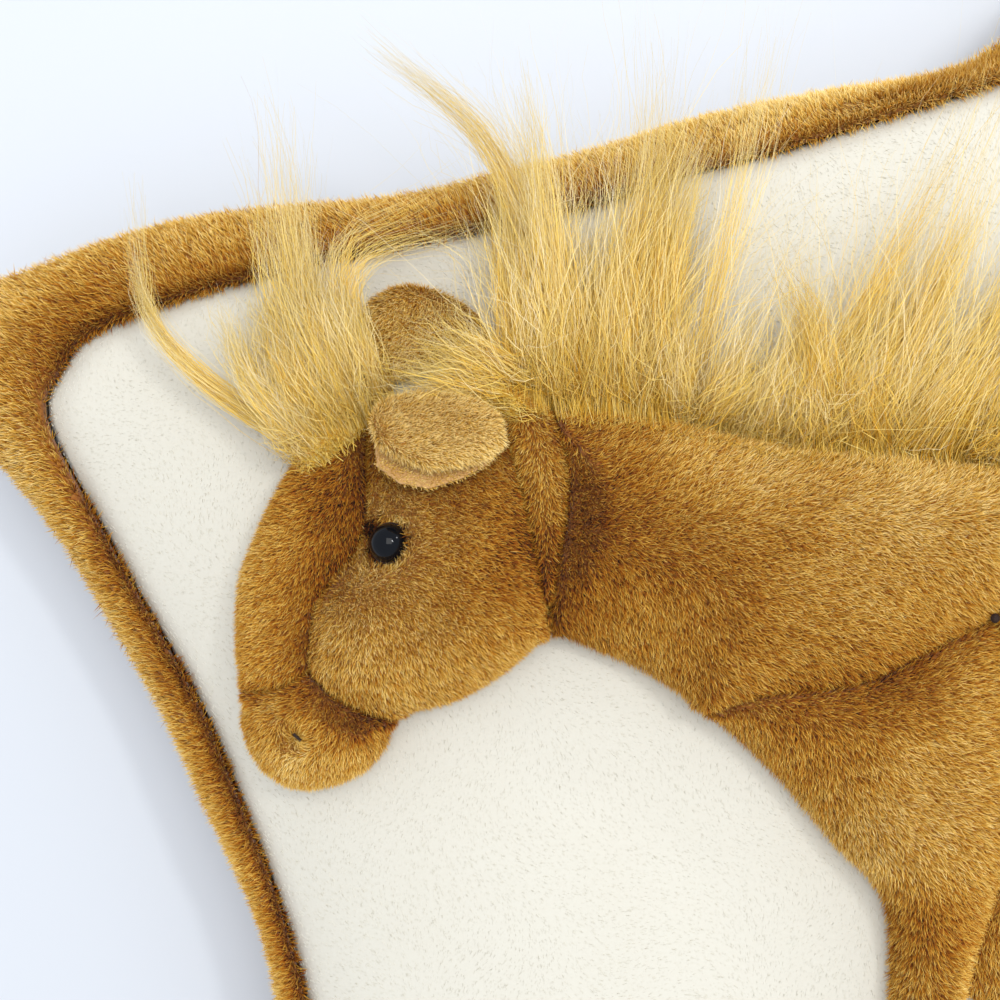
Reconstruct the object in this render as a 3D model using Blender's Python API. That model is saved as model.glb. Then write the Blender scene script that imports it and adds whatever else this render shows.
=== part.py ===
# Plush pony in padded relief, sewn on the front of a square cushion.
# The cushion lies on its back: +Z points out of its front face, +Y to its top side, +X to its right side.
# The origin is on the floor under the cushion's middle. Lengths are in metres.

import math

import bmesh
import bpy
import numpy as np
from mathutils import Matrix, Vector
from mathutils.bvhtree import BVHTree

# Cushion
cushion_half_side = 0.1995  # from the middle to the outer seam, halfway along a side
side_draw = 0.0381  # how far the sides draw in between the corners
cushion_corner_reach = cushion_half_side + side_draw  # at a corner, along one axis
side_ease_share = 0.25  # how softly the sides turn at their middles
corner_power = 14.0
side_border_width = 0.0145  # the border strip halfway along the left and right sides, seen from the front
top_border_width = 0.020  # the same at the top and bottom
panel_half_width = cushion_half_side - side_border_width  # cream front panel, to its seam with the border
panel_half_height = cushion_half_side - top_border_width
panel_corner_reach_x = 0.033  # how much further out the panel's side seams run at the corners
panel_corner_reach_y = 0.018  # the same for its top and bottom seams
panel_corner_power = 9.0
seam_height = 0.040  # the outer seam above the floor
front_crown = 0.058  # the front's crown above the outer seam
back_flat_depth = 0.0005  # how deep the back is cut flat where it rests
front_crown_power = 2.2
back_crown_power = 2.6
seam_fade_power = 24.0  # how close to the outer seam both faces run together
seam_groove = 0.0013
fabric_thickness = 0.0025
filling_edge_share = 0.3  # how far across the border the filling reaches: the seam's folded fabric is beyond
panel_ring_shares = (0.0, 0.22, 0.44, 0.64, 0.82, 0.94, 1.0)
border_ring_shares = (0.0, 0.42, 0.78, 1.0)
back_ring_shares = (1.0, 0.93, 0.78, 0.56, 0.3, 0.16, 0.0)
columns_per_side = 10

# Clearances and the drawing of the pads
seat_gap = 0.0003  # between a pad and the cushion under it
filling_gap = 0.0005  # between the filling and the fabric round it
seam_gap = 0.0006  # between two pads that share a seam
ear_gap = 0.0005
outline_step = 0.0088
pad_sink = 0.006  # how far a pad reaches below the cushion's face before it is cut to it
pad_ring_shares = (1.0, 0.93, 0.78, 0.55, 0.28)
free_edge = 0.003  # height of a pad's edge where it is sewn down to the panel
hair_edge = 0.009  # height of the long hair where it ends
wedge_power = 0.7  # how a wedge of pile thins out towards its tips
mitre_limit = 0.5
curve_steps = 12  # steps in each span of a smooth curve before it is evened out
sharp_angle = math.radians(50.0)

# Horse, seen from the front: the shoulder tack is its reference point
shoulder_x = 0.030
shoulder_y = 0.037
body_length = 0.200
head_length = 0.100
leg_length = 0.088
hoof_height = 0.018

# How far each pad rises over the panel
forehead_rise = 0.021
cheek_rise = 0.030
muzzle_rise = 0.024
nape_rise = 0.022
neck_rise = 0.030
barrel_rise = 0.034
hindquarters_rise = 0.034
near_leg_rise = 0.019
far_leg_rise = 0.013
hoof_rise = 0.015
mane_rise = 0.024
forelock_rise = 0.022
tail_rise = 0.014

# How high the seams between pads stay over the panel
face_seam = 0.013
nape_seam = 0.015
throat_seam = 0.0195  # where the neck's crease comes out at the chest
crease_seam = 0.017
body_seam = 0.023
leg_seam = 0.010
mane_seam = 0.009

# Eye
eye_radius = 0.0058
eye_rim_radius = 0.0066
eye_dome_height = 0.0048
eye_rim_thickness = 0.0010
eye_stem_radius = 0.0020
eye_stem_length = 0.0110
eye_sink = 0.0012
eye_clearance = 0.0003
eye_sides = 18
eye_dome_steps = 4
washer_radius = 0.0050
washer_thickness = 0.0014
washer_drop = 0.0048  # top of the washer below the eye's rim

# Nostril, tack
nostril_radius = 0.0032
nostril_depth = 0.0022
stitch_length = 0.0036
stitch_thickness = 0.0011
tack_radius = 0.0016
tack_height = 0.0026
tack_gap = 0.0004

# Ears
ear_length = 0.037
ear_width = 0.026
ear_turn = math.radians(-10.0)
far_ear_length = 0.027
far_ear_width = 0.036
far_ear_turn = math.radians(90.0)
ear_thickness = 0.0075
ear_edge = 0.0024
ear_lining_thickness = 0.0014
lining_overhang = 0.0026
ear_lean_share = 0.62  # of the slope of what is under an ear: how far the ear leans with it

# Hair
mane_length = 0.078
forelock_length = 0.064
tail_length = 0.104

# Head outlines in shares of the head's length, from the throat
forehead_free_shares = [
    (-0.31, 0.70), (-0.39, 0.75), (-0.49, 0.74), (-0.57, 0.67), (-0.66, 0.59), (-0.73, 0.51),
    (-0.80, 0.43), (-0.85, 0.33), (-0.88, 0.23), (-0.90, 0.15), (-0.89, 0.09),
]
forehead_muzzle_shares = [(-0.89, 0.09), (-0.82, 0.07), (-0.74, 0.07), (-0.67, 0.09)]
forehead_cheek_shares = [
    (-0.67, 0.09), (-0.64, 0.17), (-0.61, 0.24), (-0.56, 0.30), (-0.49, 0.34), (-0.42, 0.38),
    (-0.38, 0.46), (-0.35, 0.57), (-0.31, 0.70),
]
cheek_muzzle_shares = [(-0.67, 0.09), (-0.64, 0.03), (-0.59, -0.03), (-0.53, -0.08), (-0.48, -0.11)]
jaw_shares = [(-0.48, -0.11), (-0.38, -0.12), (-0.29, -0.12), (-0.17, -0.09), (-0.08, -0.05), (0.0, 0.0)]
cheek_nape_shares = [
    (0.0, 0.0), (0.01, 0.06), (0.02, 0.14), (0.03, 0.24), (0.04, 0.34), (0.05, 0.44), (0.05, 0.55),
    (0.04, 0.64), (0.0, 0.71),
]
crown_shares = [(0.0, 0.71), (-0.09, 0.75), (-0.20, 0.75), (-0.31, 0.70)]
muzzle_free_shares = [
    (-0.48, -0.11), (-0.50, -0.16), (-0.55, -0.21), (-0.62, -0.25), (-0.70, -0.26), (-0.79, -0.26),
    (-0.85, -0.24), (-0.91, -0.19), (-0.94, -0.12), (-0.95, -0.04), (-0.93, 0.03), (-0.89, 0.09),
]
nape_top_shares = [(0.0, 0.71), (0.05, 0.75), (0.11, 0.70)]
nape_mane_shares = [(0.11, 0.70), (0.16, 0.63), (0.18, 0.58)]
nape_neck_shares = [
    (0.18, 0.58), (0.19, 0.54), (0.19, 0.46), (0.17, 0.38), (0.13, 0.28), (0.09, 0.21), (0.03, 0.09),
    (0.0, 0.0),
]

# Body outlines in shares of the body's length, from the shoulder tack
throat_share = (-0.565, 0.145)
underline_shares = [throat_share, (-0.51, 0.095), (-0.45, 0.045), (-0.40, -0.015)]
crease_shares = [
    (-0.40, -0.015), (-0.335, -0.005), (-0.275, -0.015), (-0.195, -0.03), (-0.125, -0.02),
    (-0.06, -0.008), (0.0, 0.0),
]
neck_barrel_shares = [(0.0, 0.0), (0.025, 0.04), (0.075, 0.095), (0.14, 0.17)]
neck_mane_shares = [
    (0.14, 0.17), (0.09, 0.185), (-0.02, 0.235), (-0.14, 0.285), (-0.21, 0.32), (-0.27, 0.355),
    (-0.315, 0.38), (-0.365, 0.405), (-0.41, 0.425),
]
chest_shares = [
    (-0.40, -0.015), (-0.37, -0.065), (-0.35, -0.10), (-0.325, -0.145), (-0.305, -0.195),
    (-0.28, -0.255), (-0.25, -0.305), (-0.24, -0.34), (-0.245, -0.38), (-0.255, -0.42),
]
shoulder_back_shares = [(0.0, 0.0), (0.01, -0.065), (-0.01, -0.16), (-0.04, -0.255), (-0.085, -0.335)]
elbow_back_shares = [(-0.085, -0.335), (-0.14, -0.42)]
brisket_shares = [(-0.085, -0.335), (-0.03, -0.375), (0.04, -0.405)]
belly_shares = [(0.04, -0.405), (0.10, -0.42), (0.175, -0.425), (0.24, -0.415), (0.29, -0.395)]
flank_shares = [
    (0.29, -0.395), (0.27, -0.285), (0.26, -0.16), (0.275, -0.035), (0.31, 0.065), (0.34, 0.12),
]
back_shares = [(0.34, 0.12), (0.27, 0.125), (0.20, 0.145), (0.14, 0.17)]
rump_shares = [
    (0.34, 0.12), (0.41, 0.14), (0.49, 0.135), (0.56, 0.105), (0.61, 0.055), (0.64, -0.01),
    (0.65, -0.095), (0.64, -0.185), (0.615, -0.275), (0.59, -0.355), (0.58, -0.435),
]
gaskin_shares = [(0.58, -0.435), (0.49, -0.465), (0.41, -0.445)]
stifle_shares = [(0.41, -0.445), (0.38, -0.40)]
groin_shares = [(0.38, -0.40), (0.335, -0.385), (0.29, -0.395)]

# Legs in shares of the leg's length, from a point on the body: the start, the front edge, the back edge
near_fore_top_share = (-0.20, -0.42)
near_fore_front_shares = [(-0.16, -0.11), (-0.20, -0.32), (-0.24, -0.55), (-0.27, -0.77), (-0.32, -1.0)]
near_fore_back_shares = [(0.07, -0.14), (0.02, -0.32), (0.0, -0.55), (-0.02, -0.77), (-0.06, -1.0)]
far_fore_top_share = (-0.065, -0.42)
far_fore_front_shares = [(-0.17, -0.32), (-0.10, -0.55), (-0.05, -0.77), (0.0, -1.0)]
far_fore_back_shares = [(0.18, -0.125), (0.15, -0.32), (0.17, -0.55), (0.22, -0.77), (0.27, -1.0)]
near_hind_top_share = (0.495, -0.455)
near_hind_front_shares = [(-0.15, -0.14), (-0.06, -0.34), (-0.01, -0.50), (0.0, -0.73), (-0.01, -0.92)]
near_hind_back_shares = [(0.22, -0.11), (0.26, -0.30), (0.25, -0.50), (0.23, -0.73), (0.25, -0.92)]
far_hind_top_share = (0.335, -0.42)
far_hind_front_shares = [(-0.10, -0.10), (-0.10, -0.32), (-0.14, -0.55), (-0.17, -0.77), (-0.19, -1.0)]
far_hind_back_shares = [(0.17, -0.17), (0.14, -0.375), (0.11, -0.58), (0.09, -0.81), (0.08, -1.0)]
hoof_front_shares = (-0.25, -0.55)
hoof_toe_shares = (-0.20, -1.0)
hoof_heel_shares = (0.12, -1.0)
hoof_back_shares = (0.12, -0.5)
hoof_line_share = 1.0 / 6.0  # of the hoof's width, to each side of its middle: the line that it swells to

# Ears in shares of their length and width, from the middle of the sewn root
ear_root_share = (-0.30, 0.63)
ear_shares = [
    (-0.05, 0.22), (0.03, 0.43), (0.24, 0.53), (0.52, 0.48), (0.78, 0.35), (0.98, 0.05), (0.93, -0.20),
    (0.70, -0.37), (0.57, -0.41), (0.33, -0.465), (0.15, -0.35), (-0.02, -0.18), (-0.05, 0.22),
]
ear_spine_shares = (0.22, 0.68)
ear_sample_shares = (1.0, 0.6, 0.3)
lining_share = 0.94
far_ear_root_share = (-0.10, 0.81)
far_ear_shares = [
    (0.0, 0.0), (0.0, 0.44), (0.15, 0.50), (0.74, 0.44), (0.96, 0.2), (0.94, -0.05), (0.74, -0.28),
    (0.48, -0.45), (0.22, -0.5), (0.0, -0.44), (0.0, 0.0),
]

# Eye, nostril and tack
eye_share = (-0.34, 0.37)
nostril_share = (-0.75, -0.07)
nostril_turn = math.radians(-58.0)
tack_share = (-0.004, 0.002)
tack_profile_shares = [(0.0, 1.0), (0.6, 0.8), (1.0, 0.35), (0.8, 0.0), (0.0, 0.0)]

# Hair outlines: the mane in body shares plus shares of its own length, the others in shares of theirs
mane_places = [
    ((0.14, 0.17), (0.10, 0.13)), ((0.14, 0.17), (0.45, 0.60)), ((0.09, 0.185), (0.62, 1.0)),
    ((0.09, 0.185), (0.35, 0.75)), ((-0.02, 0.235), (0.45, 1.05)), ((-0.02, 0.235), (0.10, 0.50)),
    ((-0.14, 0.285), (0.15, 1.03)), ((-0.14, 0.285), (0.0, 0.85)), ((-0.21, 0.32), (0.08, 1.05)),
    ((-0.27, 0.355), (0.10, 0.65)), ((-0.315, 0.38), (0.12, 1.0)), ((-0.315, 0.38), (0.0, 0.90)),
    ((-0.365, 0.405), (0.08, 1.18)), ((-0.365, 0.405), (-0.04, 1.05)), ((-0.41, 0.425), (-0.02, 1.20)),
    ((-0.41, 0.425), (-0.27, 1.33)), ((-0.41, 0.425), (-0.20, 1.08)), ((-0.41, 0.425), (-0.14, 0.80)),
    ((-0.41, 0.425), (-0.20, 0.50)), ((-0.41, 0.425), (-0.22, 0.33)),
]
forelock_root_share = (-0.45, 0.73)
forelock_shares = [
    (-0.34, 0.06), (-0.44, 0.30), (-0.56, 0.60), (-0.56, 0.95), (-0.42, 0.62), (-0.22, 0.48), (-0.15, 0.70),
    (-0.08, 1.05), (0.06, 1.22), (0.14, 0.95), (0.33, 0.85), (0.34, 0.60), (0.28, 0.40), (0.24, 0.17),
]
tail_root_share = (0.615, 0.045)
tail_hinge_share = (0.04, 0.065)
tail_shares = [
    (0.014, 0.04), (0.07, 0.06), (0.145, 0.0), (0.20, -0.125), (0.24, -0.33), (0.24, -0.56),
    (0.20, -0.78), (0.125, -1.0), (0.10, -0.92), (0.04, -1.02), (0.05, -0.85), (0.08, -0.63),
    (0.11, -0.42), (0.12, -0.25), (0.09, -0.10), (0.04, -0.04), (0.014, 0.04),
]

# The line that each pad swells to, in shares of the head or body, with shares of the pad's rise
forehead_spine_shares = [(-0.42, 0.62, 1.0), (-0.57, 0.48, 1.0), (-0.73, 0.32, 1.0), (-0.78, 0.19, 1.0)]
cheek_spine_shares = [(-0.15, 0.55, 0.8), (-0.20, 0.32, 1.0), (-0.28, 0.14, 1.0), (-0.44, 0.10, 0.95)]
muzzle_spine_shares = [(-0.80, -0.05, 1.0), (-0.65, -0.10, 1.0)]
nape_spine_shares = [(0.09, 0.64, 1.0), (0.11, 0.45, 1.0), (0.07, 0.25, 0.95), (0.03, 0.13, 0.9)]
neck_spine_shares = [(-0.42, 0.27, 0.9), (-0.28, 0.17, 1.0), (-0.12, 0.12, 1.0), (0.02, 0.11, 1.0)]
barrel_spine_shares = [(0.11, 0.05, 1.0), (0.13, -0.13, 1.0), (0.12, -0.29, 0.9)]
hindquarters_spine_shares = [(0.46, 0.02, 1.0), (0.46, -0.16, 1.0), (0.48, -0.34, 0.7)]
near_fore_spine_shares = [
    (-0.15, -0.12, 1.4), (-0.16, -0.26, 1.3), (-0.19, -0.42, 1.0), (-0.245, -0.62, 1.0), (-0.275, -0.80, 1.0),
]
far_fore_spine_shares = [(-0.05, -0.44, 1.0), (-0.055, -0.60, 1.0), (-0.015, -0.80, 1.0)]
near_hind_spine_shares = [(0.50, -0.51, 1.0), (0.545, -0.66, 1.0), (0.548, -0.80, 1.0)]
far_hind_spine_shares = [(0.34, -0.45, 1.0), (0.335, -0.62, 1.0), (0.31, -0.80, 1.0)]
mane_spine_shares = [
    (-0.425, 0.515, 1.0), (-0.325, 0.465, 1.0), (-0.20, 0.395, 1.0), (-0.05, 0.325, 1.0), (0.09, 0.265, 0.8),
]
forelock_spine_shares = [(-0.46, 0.86, 1.0), (-0.44, 1.04, 1.0)]
tail_spine_shares = [(0.07, 0.0), (0.15, -0.18), (0.175, -0.45), (0.13, -0.78)]

colours = {
    "cream_plush": "#F4F1E4",
    "brown_plush": "#B07A35",
    "dark_brown_plush": "#7A4A1C",
    "inner_ear_plush": "#C89F62",
    "golden_pile": "#E8CC83",
    "fibre_fill": "#F2F2EE",
    "black_plastic": "#0B0A0A",
    "white_nylon": "#E8E6DF",
    "dark_thread": "#2B1A10",
}
roughness = {"black_plastic": 0.08, "white_nylon": 0.4}


def linear(channel):
    return channel / 12.92 if channel <= 0.04045 else ((channel + 0.055) / 1.055) ** 2.4


def material(name):
    made = bpy.data.materials.get(name)
    if made:
        return made
    made = bpy.data.materials.new(name)
    made.use_nodes = True
    shader = made.node_tree.nodes["Principled BSDF"]
    code = colours[name.rsplit("-", 1)[0]]
    channels = [int(code[i:i + 2], 16) / 255 for i in (1, 3, 5)]
    shader.inputs["Base Color"].default_value = [linear(c) for c in channels] + [1.0]
    shader.inputs["Roughness"].default_value = roughness.get(name.rsplit("-", 1)[0], 0.95)
    shader.inputs["Metallic"].default_value = 0.0
    return made


def clear_scene():
    for thing in list(bpy.data.objects):
        bpy.data.objects.remove(thing, do_unlink=True)


def add_object(name, vertices, faces, slot, origin=(0.0, 0.0, 0.0)):
    mesh = bpy.data.meshes.new(name)
    mesh.from_pydata([Vector(v) - Vector(origin) for v in vertices], [], faces)
    shell = bmesh.new()
    shell.from_mesh(mesh)
    bmesh.ops.triangulate(shell, faces=shell.faces)
    bmesh.ops.recalc_face_normals(shell, faces=shell.faces)
    if shell.calc_volume(signed=True) < 0.0:
        bmesh.ops.reverse_faces(shell, faces=shell.faces)
    shell.to_mesh(mesh)
    shell.free()
    mesh.shade_smooth()
    mesh.set_sharp_from_angle(angle=sharp_angle)
    thing = bpy.data.objects.new(name, mesh)
    thing.location = origin
    thing.data.materials.append(material(f"{slot}-{name}"))
    bpy.context.scene.collection.objects.link(thing)
    return thing


def cut(thing, cutter):
    cutter.hide_render = True
    cutter.display_type = "WIRE"
    step = thing.modifiers.new("cut", "BOOLEAN")
    step.operation = "DIFFERENCE"
    step.solver = "EXACT"
    step.object = cutter


def drawn_in(share):
    """How far a side has come out again at a share of the way from its middle to the corner."""
    soft = side_ease_share
    return (math.hypot(share, soft) - soft) / (math.hypot(1.0, soft) - soft)


def outline_reach(direction, half_x, half_y, corner_x, corner_y, power):
    """Distance from the middle to a drawn-in rounded square, along a unit direction."""
    x = abs(direction[0])
    y = abs(direction[1])
    out = drawn_in(min(x, y) / max(x, y))
    across = x / (half_x + corner_x * out)
    along = y / (half_y + corner_y * out)
    return 1.0 / (across ** power + along ** power) ** (1.0 / power)


def cushion_reach(direction):
    return outline_reach(
        direction, cushion_half_side, cushion_half_side, side_draw, side_draw, corner_power
    )


def panel_reach(direction):
    return outline_reach(
        direction, panel_half_width, panel_half_height, panel_corner_reach_x, panel_corner_reach_y,
        panel_corner_power,
    )


def crown(x, y, power):
    """Share of a face's full crown: one in the middle, none at the seam, thin towards the corners."""
    distance = math.hypot(x, y)
    if distance == 0.0:
        return 1.0
    share = min(distance / cushion_reach((x / distance, y / distance)), 1.0)
    across = abs(x) / (cushion_half_side + side_draw * drawn_in(abs(y) / cushion_corner_reach))
    along = abs(y) / (cushion_half_side + side_draw * drawn_in(abs(x) / cushion_corner_reach))
    fullness = max(1.0 - across ** power, 0.0) * max(1.0 - along ** power, 0.0)
    return math.sqrt(fullness * (1.0 - share ** seam_fade_power))


def front_height(x, y):
    """Height of the cushion's front face."""
    return seam_height + front_crown * crown(x, y, front_crown_power)


def back_height(x, y):
    """Height of its back face, cut flat where the cushion rests."""
    drop = (seam_height + back_flat_depth) * crown(x, y, back_crown_power)
    return max(seam_height - drop, 0.0)


def column_directions():
    directions = []
    for side in range(4):
        turn = side * math.pi / 2.0
        for step in range(columns_per_side):
            along = math.sin(math.pi / 2.0 * (2.0 * step / columns_per_side - 1.0))
            angle = turn + math.atan(along)
            directions.append((math.cos(angle), math.sin(angle)))
    return directions


def cushion_rings():
    """Rings of points from the front's middle over the outer seam to the back's middle."""
    directions = column_directions()
    rings = []
    for share in panel_ring_shares:
        ring = []
        for d in directions:
            reach = panel_reach(d) * share
            x, y = d[0] * reach, d[1] * reach
            ring.append((x, y, front_height(x, y)))
        rings.append(ring)
    for share in border_ring_shares[1:]:
        ring = []
        for d in directions:
            reach = panel_reach(d) + (cushion_reach(d) - panel_reach(d)) * share
            x, y = d[0] * reach, d[1] * reach
            ring.append((x, y, front_height(x, y)))
        rings.append(ring)
    for share in back_ring_shares[1:]:
        ring = []
        for d in directions:
            reach = cushion_reach(d) * share
            x, y = d[0] * reach, d[1] * reach
            ring.append((x, y, back_height(x, y)))
        rings.append(ring)
    return np.array(rings)


def ring_normals(rings):
    along = np.roll(rings, -1, axis=1) - np.roll(rings, 1, axis=1)
    across = np.empty_like(rings)
    across[1:-1] = rings[2:] - rings[:-2]
    across[0] = rings[1] - rings[0]
    across[-1] = rings[-1] - rings[-2]
    normals = np.cross(across, along)
    length = np.linalg.norm(normals, axis=2, keepdims=True)
    normals = normals / np.maximum(length, 1e-12)
    normals[0] = (0.0, 0.0, 1.0)
    normals[-1] = (0.0, 0.0, -1.0)
    return normals


def band_faces(first, second, count):
    """Triangles between two rings whose points start at the given numbers, all split the same way."""
    faces = []
    for i in range(count):
        after = (i + 1) % count
        faces.append((first + i, first + after, second + after))
        faces.append((first + i, second + after, second + i))
    return faces


def trimmed(rings, start_gap, end_gap):
    """The rings with their first and last moved in along the surface, to leave a gap to the next piece."""
    made = rings.copy()
    for edge, inner, gap in ((0, 1, start_gap), (-1, -2, end_gap)):
        if gap:
            step = rings[inner] - rings[edge]
            made[edge] = rings[edge] + step * gap / np.linalg.norm(step, axis=1, keepdims=True)
    return made


def skin(name, outside, inside, slot, pole_first, pole_last):
    """A sheet between two stacks of rings: open, or closed over the middle where it has a pole."""
    count = outside.shape[1]
    vertices = []
    faces = []
    starts = []
    for stack in (outside, inside):
        rings = []
        for index, ring in enumerate(stack):
            is_pole = (pole_first and index == 0) or (pole_last and index == len(stack) - 1)
            rings.append((len(vertices), is_pole))
            vertices += [tuple(ring[0])] if is_pole else [tuple(p) for p in ring]
        starts.append(rings)
        for (a, a_pole), (b, b_pole) in zip(rings, rings[1:]):
            if a_pole:
                faces += [(a, b + i, b + (i + 1) % count) for i in range(count)]
            elif b_pole:
                faces += [(b, a + i, a + (i + 1) % count) for i in range(count)]
            else:
                faces += band_faces(a, b, count)
    if not pole_first:
        faces += band_faces(starts[0][0][0], starts[1][0][0], count)
    if not pole_last:
        faces += band_faces(starts[0][-1][0], starts[1][-1][0], count)
    return add_object(name, vertices, faces, slot)


def solid_of_rings(name, rings, slot):
    count = rings.shape[1]
    vertices = [tuple(rings[0][0])]
    faces = [(0, 1 + i, 1 + (i + 1) % count) for i in range(count)]
    for ring in rings[1:-1]:
        vertices += [tuple(p) for p in ring]
    for index in range(len(rings) - 3):
        faces += band_faces(1 + index * count, 1 + (index + 1) * count, count)
    last = 1 + (len(rings) - 3) * count
    vertices.append(tuple(rings[-1][0]))
    faces += [(len(vertices) - 1, last + i, last + (i + 1) % count) for i in range(count)]
    return add_object(name, vertices, faces, slot)


def make_cushion():
    rings = cushion_rings()
    normals = ring_normals(rings)
    inner = rings - normals * fabric_thickness
    panel_end = len(panel_ring_shares)
    border_end = panel_end + len(border_ring_shares) - 1
    outer_seam = border_end - 1
    panel_seam = panel_end - 1
    filling = rings - normals * (fabric_thickness + filling_gap)
    edge = rings[panel_seam] + (rings[outer_seam] - rings[panel_seam]) * filling_edge_share
    edge[:, 2] = seam_height
    filling = np.concatenate([filling[:panel_seam], [edge], filling[outer_seam + 2:]])
    rings[panel_seam, :, 2] -= seam_groove
    half = seam_gap / 2.0

    def sheet(name, start, end, start_gap, end_gap, slot, pole_first, pole_last):
        outside = trimmed(rings[start:end], start_gap, end_gap)
        inside = trimmed(inner[start:end], start_gap, end_gap)
        skin(name, outside, inside, slot, pole_first, pole_last)

    sheet("front_panel", 0, panel_end, 0.0, half, "cream_plush", True, False)
    sheet("front_border", panel_end - 1, border_end, half, half, "brown_plush", False, False)
    sheet("back_panel", border_end - 1, len(rings), half, 0.0, "brown_plush", False, True)
    solid_of_rings("cushion_filling", filling, "fibre_fill")


def make_face_cutter():
    """The cushion's front face raised by the seat gap, down to the floor: it trims the pads to the face."""
    rings = cushion_rings()[:len(panel_ring_shares) + len(border_ring_shares) - 1].copy()
    rings[:, :, 2] += seat_gap
    floor = rings[-1].copy()
    floor[:, 2] = 0.0
    middle = np.zeros_like(floor)
    return solid_of_rings("face_cutter", np.concatenate([rings, [floor], [middle]]), "fibre_fill")


def smooth_curve(points, count):
    """A Catmull-Rom curve through the points, at even steps along it."""
    pts = np.array(points, float)
    if len(pts) == 2:
        return [tuple(pts[0] + (pts[1] - pts[0]) * i / count) for i in range(count + 1)]
    ends = np.vstack([2 * pts[0] - pts[1], pts, 2 * pts[-1] - pts[-2]])
    dense = []
    for a, b, c, d in zip(ends, ends[1:], ends[2:], ends[3:]):
        for step in range(curve_steps):
            t = step / curve_steps
            dense.append(
                0.5 * (2 * b + (c - a) * t + (2 * a - 5 * b + 4 * c - d) * t ** 2
                       + (3 * b - a - 3 * c + d) * t ** 3)
            )
    dense = np.array(dense + [pts[-1]])
    travel = np.concatenate([[0.0], np.cumsum(np.linalg.norm(np.diff(dense, axis=0), axis=1))])
    wanted = np.linspace(0.0, travel[-1], count + 1)
    return [tuple(np.interp(w, travel, dense[:, k]) for k in range(dense.shape[1])) for w in wanted]


def curve_length(points):
    return sum(math.dist(a, b) for a, b in zip(points, points[1:]))


def seam(points, rim_start, rim_end=None, reverse=False):
    """One stretch of an outline: points (x, y, rim height), the last left for the next stretch."""
    rim_end = rim_start if rim_end is None else rim_end
    count = max(1, round(curve_length(points) / outline_step))
    curve = smooth_curve(points, count)
    made = [
        (p[0], p[1], rim_start + (rim_end - rim_start) * i / count) for i, p in enumerate(curve)
    ]
    if reverse:
        made.reverse()
    return made[:-1]


def signed_area(points):
    return 0.5 * sum(
        a[0] * b[1] - b[0] * a[1] for a, b in zip(points, points[1:] + points[:1])
    )


def inset(outline, distance):
    """The outline moved inwards, each corner along its bisector."""
    turn = 1.0 if signed_area(outline) > 0.0 else -1.0
    count = len(outline)
    made = []
    for i, (x, y, rim) in enumerate(outline):
        before = Vector((x, y)) - Vector(outline[i - 1][:2])
        after = Vector(outline[(i + 1) % count][:2]) - Vector((x, y))
        n1 = Vector((-before.y, before.x)).normalized() * turn
        n2 = Vector((-after.y, after.x)).normalized() * turn
        bisector = (n1 + n2).normalized()
        reach = distance / max(bisector.dot(n1), mitre_limit)
        made.append((x + bisector.x * reach, y + bisector.y * reach, rim))
    return made


def eased_rims(outline):
    """Rim heights blended a little along the outline, so that no seam ends in a step."""
    rims = np.array([p[2] for p in outline])
    for _ in range(2):
        rims = 0.25 * np.roll(rims, 1) + 0.5 * rims + 0.25 * np.roll(rims, -1)
    return [(p[0], p[1], float(rim)) for p, rim in zip(outline, rims)]


def nearest_on_spine(x, y, spine):
    """The spine's nearest point and the pad's rise there."""
    here = Vector((x, y))
    best = None
    for a, b in zip(spine, spine[1:]) if len(spine) > 1 else [(spine[0], spine[0])]:
        start = Vector(a[:2])
        run = Vector(b[:2]) - start
        share = 0.0
        if run.length_squared > 0.0:
            share = min(max((here - start).dot(run) / run.length_squared, 0.0), 1.0)
        point = start + run * share
        gap = (here - point).length
        if best is None or gap < best[0]:
            best = (gap, point, a[2] + (b[2] - a[2]) * share)
    return best[1], best[2]


def dome(share):
    return math.sqrt(max(1.0 - share * share, 0.0))


def wedge(share):
    return (1.0 - share) ** wedge_power


def pad_mesh(outline, spine, surface, underside, profile):
    """Vertices and faces of a pad: a wall up to its rim, then rings that swell to the spine."""
    count = len(outline)
    vertices = [(x, y, underside(x, y)) for x, y, rim in outline]
    faces = [tuple(range(count))]
    for share in pad_ring_shares:
        for x, y, rim in outline:
            middle, rise = nearest_on_spine(x, y, spine)
            px = middle.x + (x - middle.x) * share
            py = middle.y + (y - middle.y) * share
            swell = max(rise - rim, 0.0) * profile(share)
            vertices.append((px, py, surface(px, py) + rim + swell))
    for ring in range(len(pad_ring_shares)):
        faces += band_faces(ring * count, (ring + 1) * count, count)
    faces.append(tuple(len(pad_ring_shares) * count + i for i in range(count)))
    return vertices, faces


def sunk_height(x, y):
    return front_height(x, y) - pad_sink


def pad(name, outline, spine, slot, cutter, profile=dome, origin=(0.0, 0.0, 0.0)):
    """A stuffed pad sewn on the cushion's face, trimmed to it by the cutter."""
    drawn = eased_rims(inset(outline, seam_gap / 2.0))
    vertices, faces = pad_mesh(drawn, spine, front_height, sunk_height, profile)
    made = add_object(name, vertices, faces, slot, origin)
    cut(made, cutter)
    return made


def body_point(share):
    return (shoulder_x + share[0] * body_length, shoulder_y + share[1] * body_length)


def head_point(share):
    throat = body_point(throat_share)
    return (throat[0] + share[0] * head_length, throat[1] + share[1] * head_length)


def body_curve(shares):
    return [body_point(s) for s in shares]


def head_curve(shares):
    return [head_point(s) for s in shares]


def leg_curve(top_share, shares):
    top = body_point(top_share)
    return [(top[0] + a * leg_length, top[1] + b * leg_length) for a, b in shares]


def spine_of(point, places, rise):
    """The line that a pad swells to: places in shares, and shares of its rise."""
    return [(*point(place[:2]), place[2] * rise) for place in places]


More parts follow.
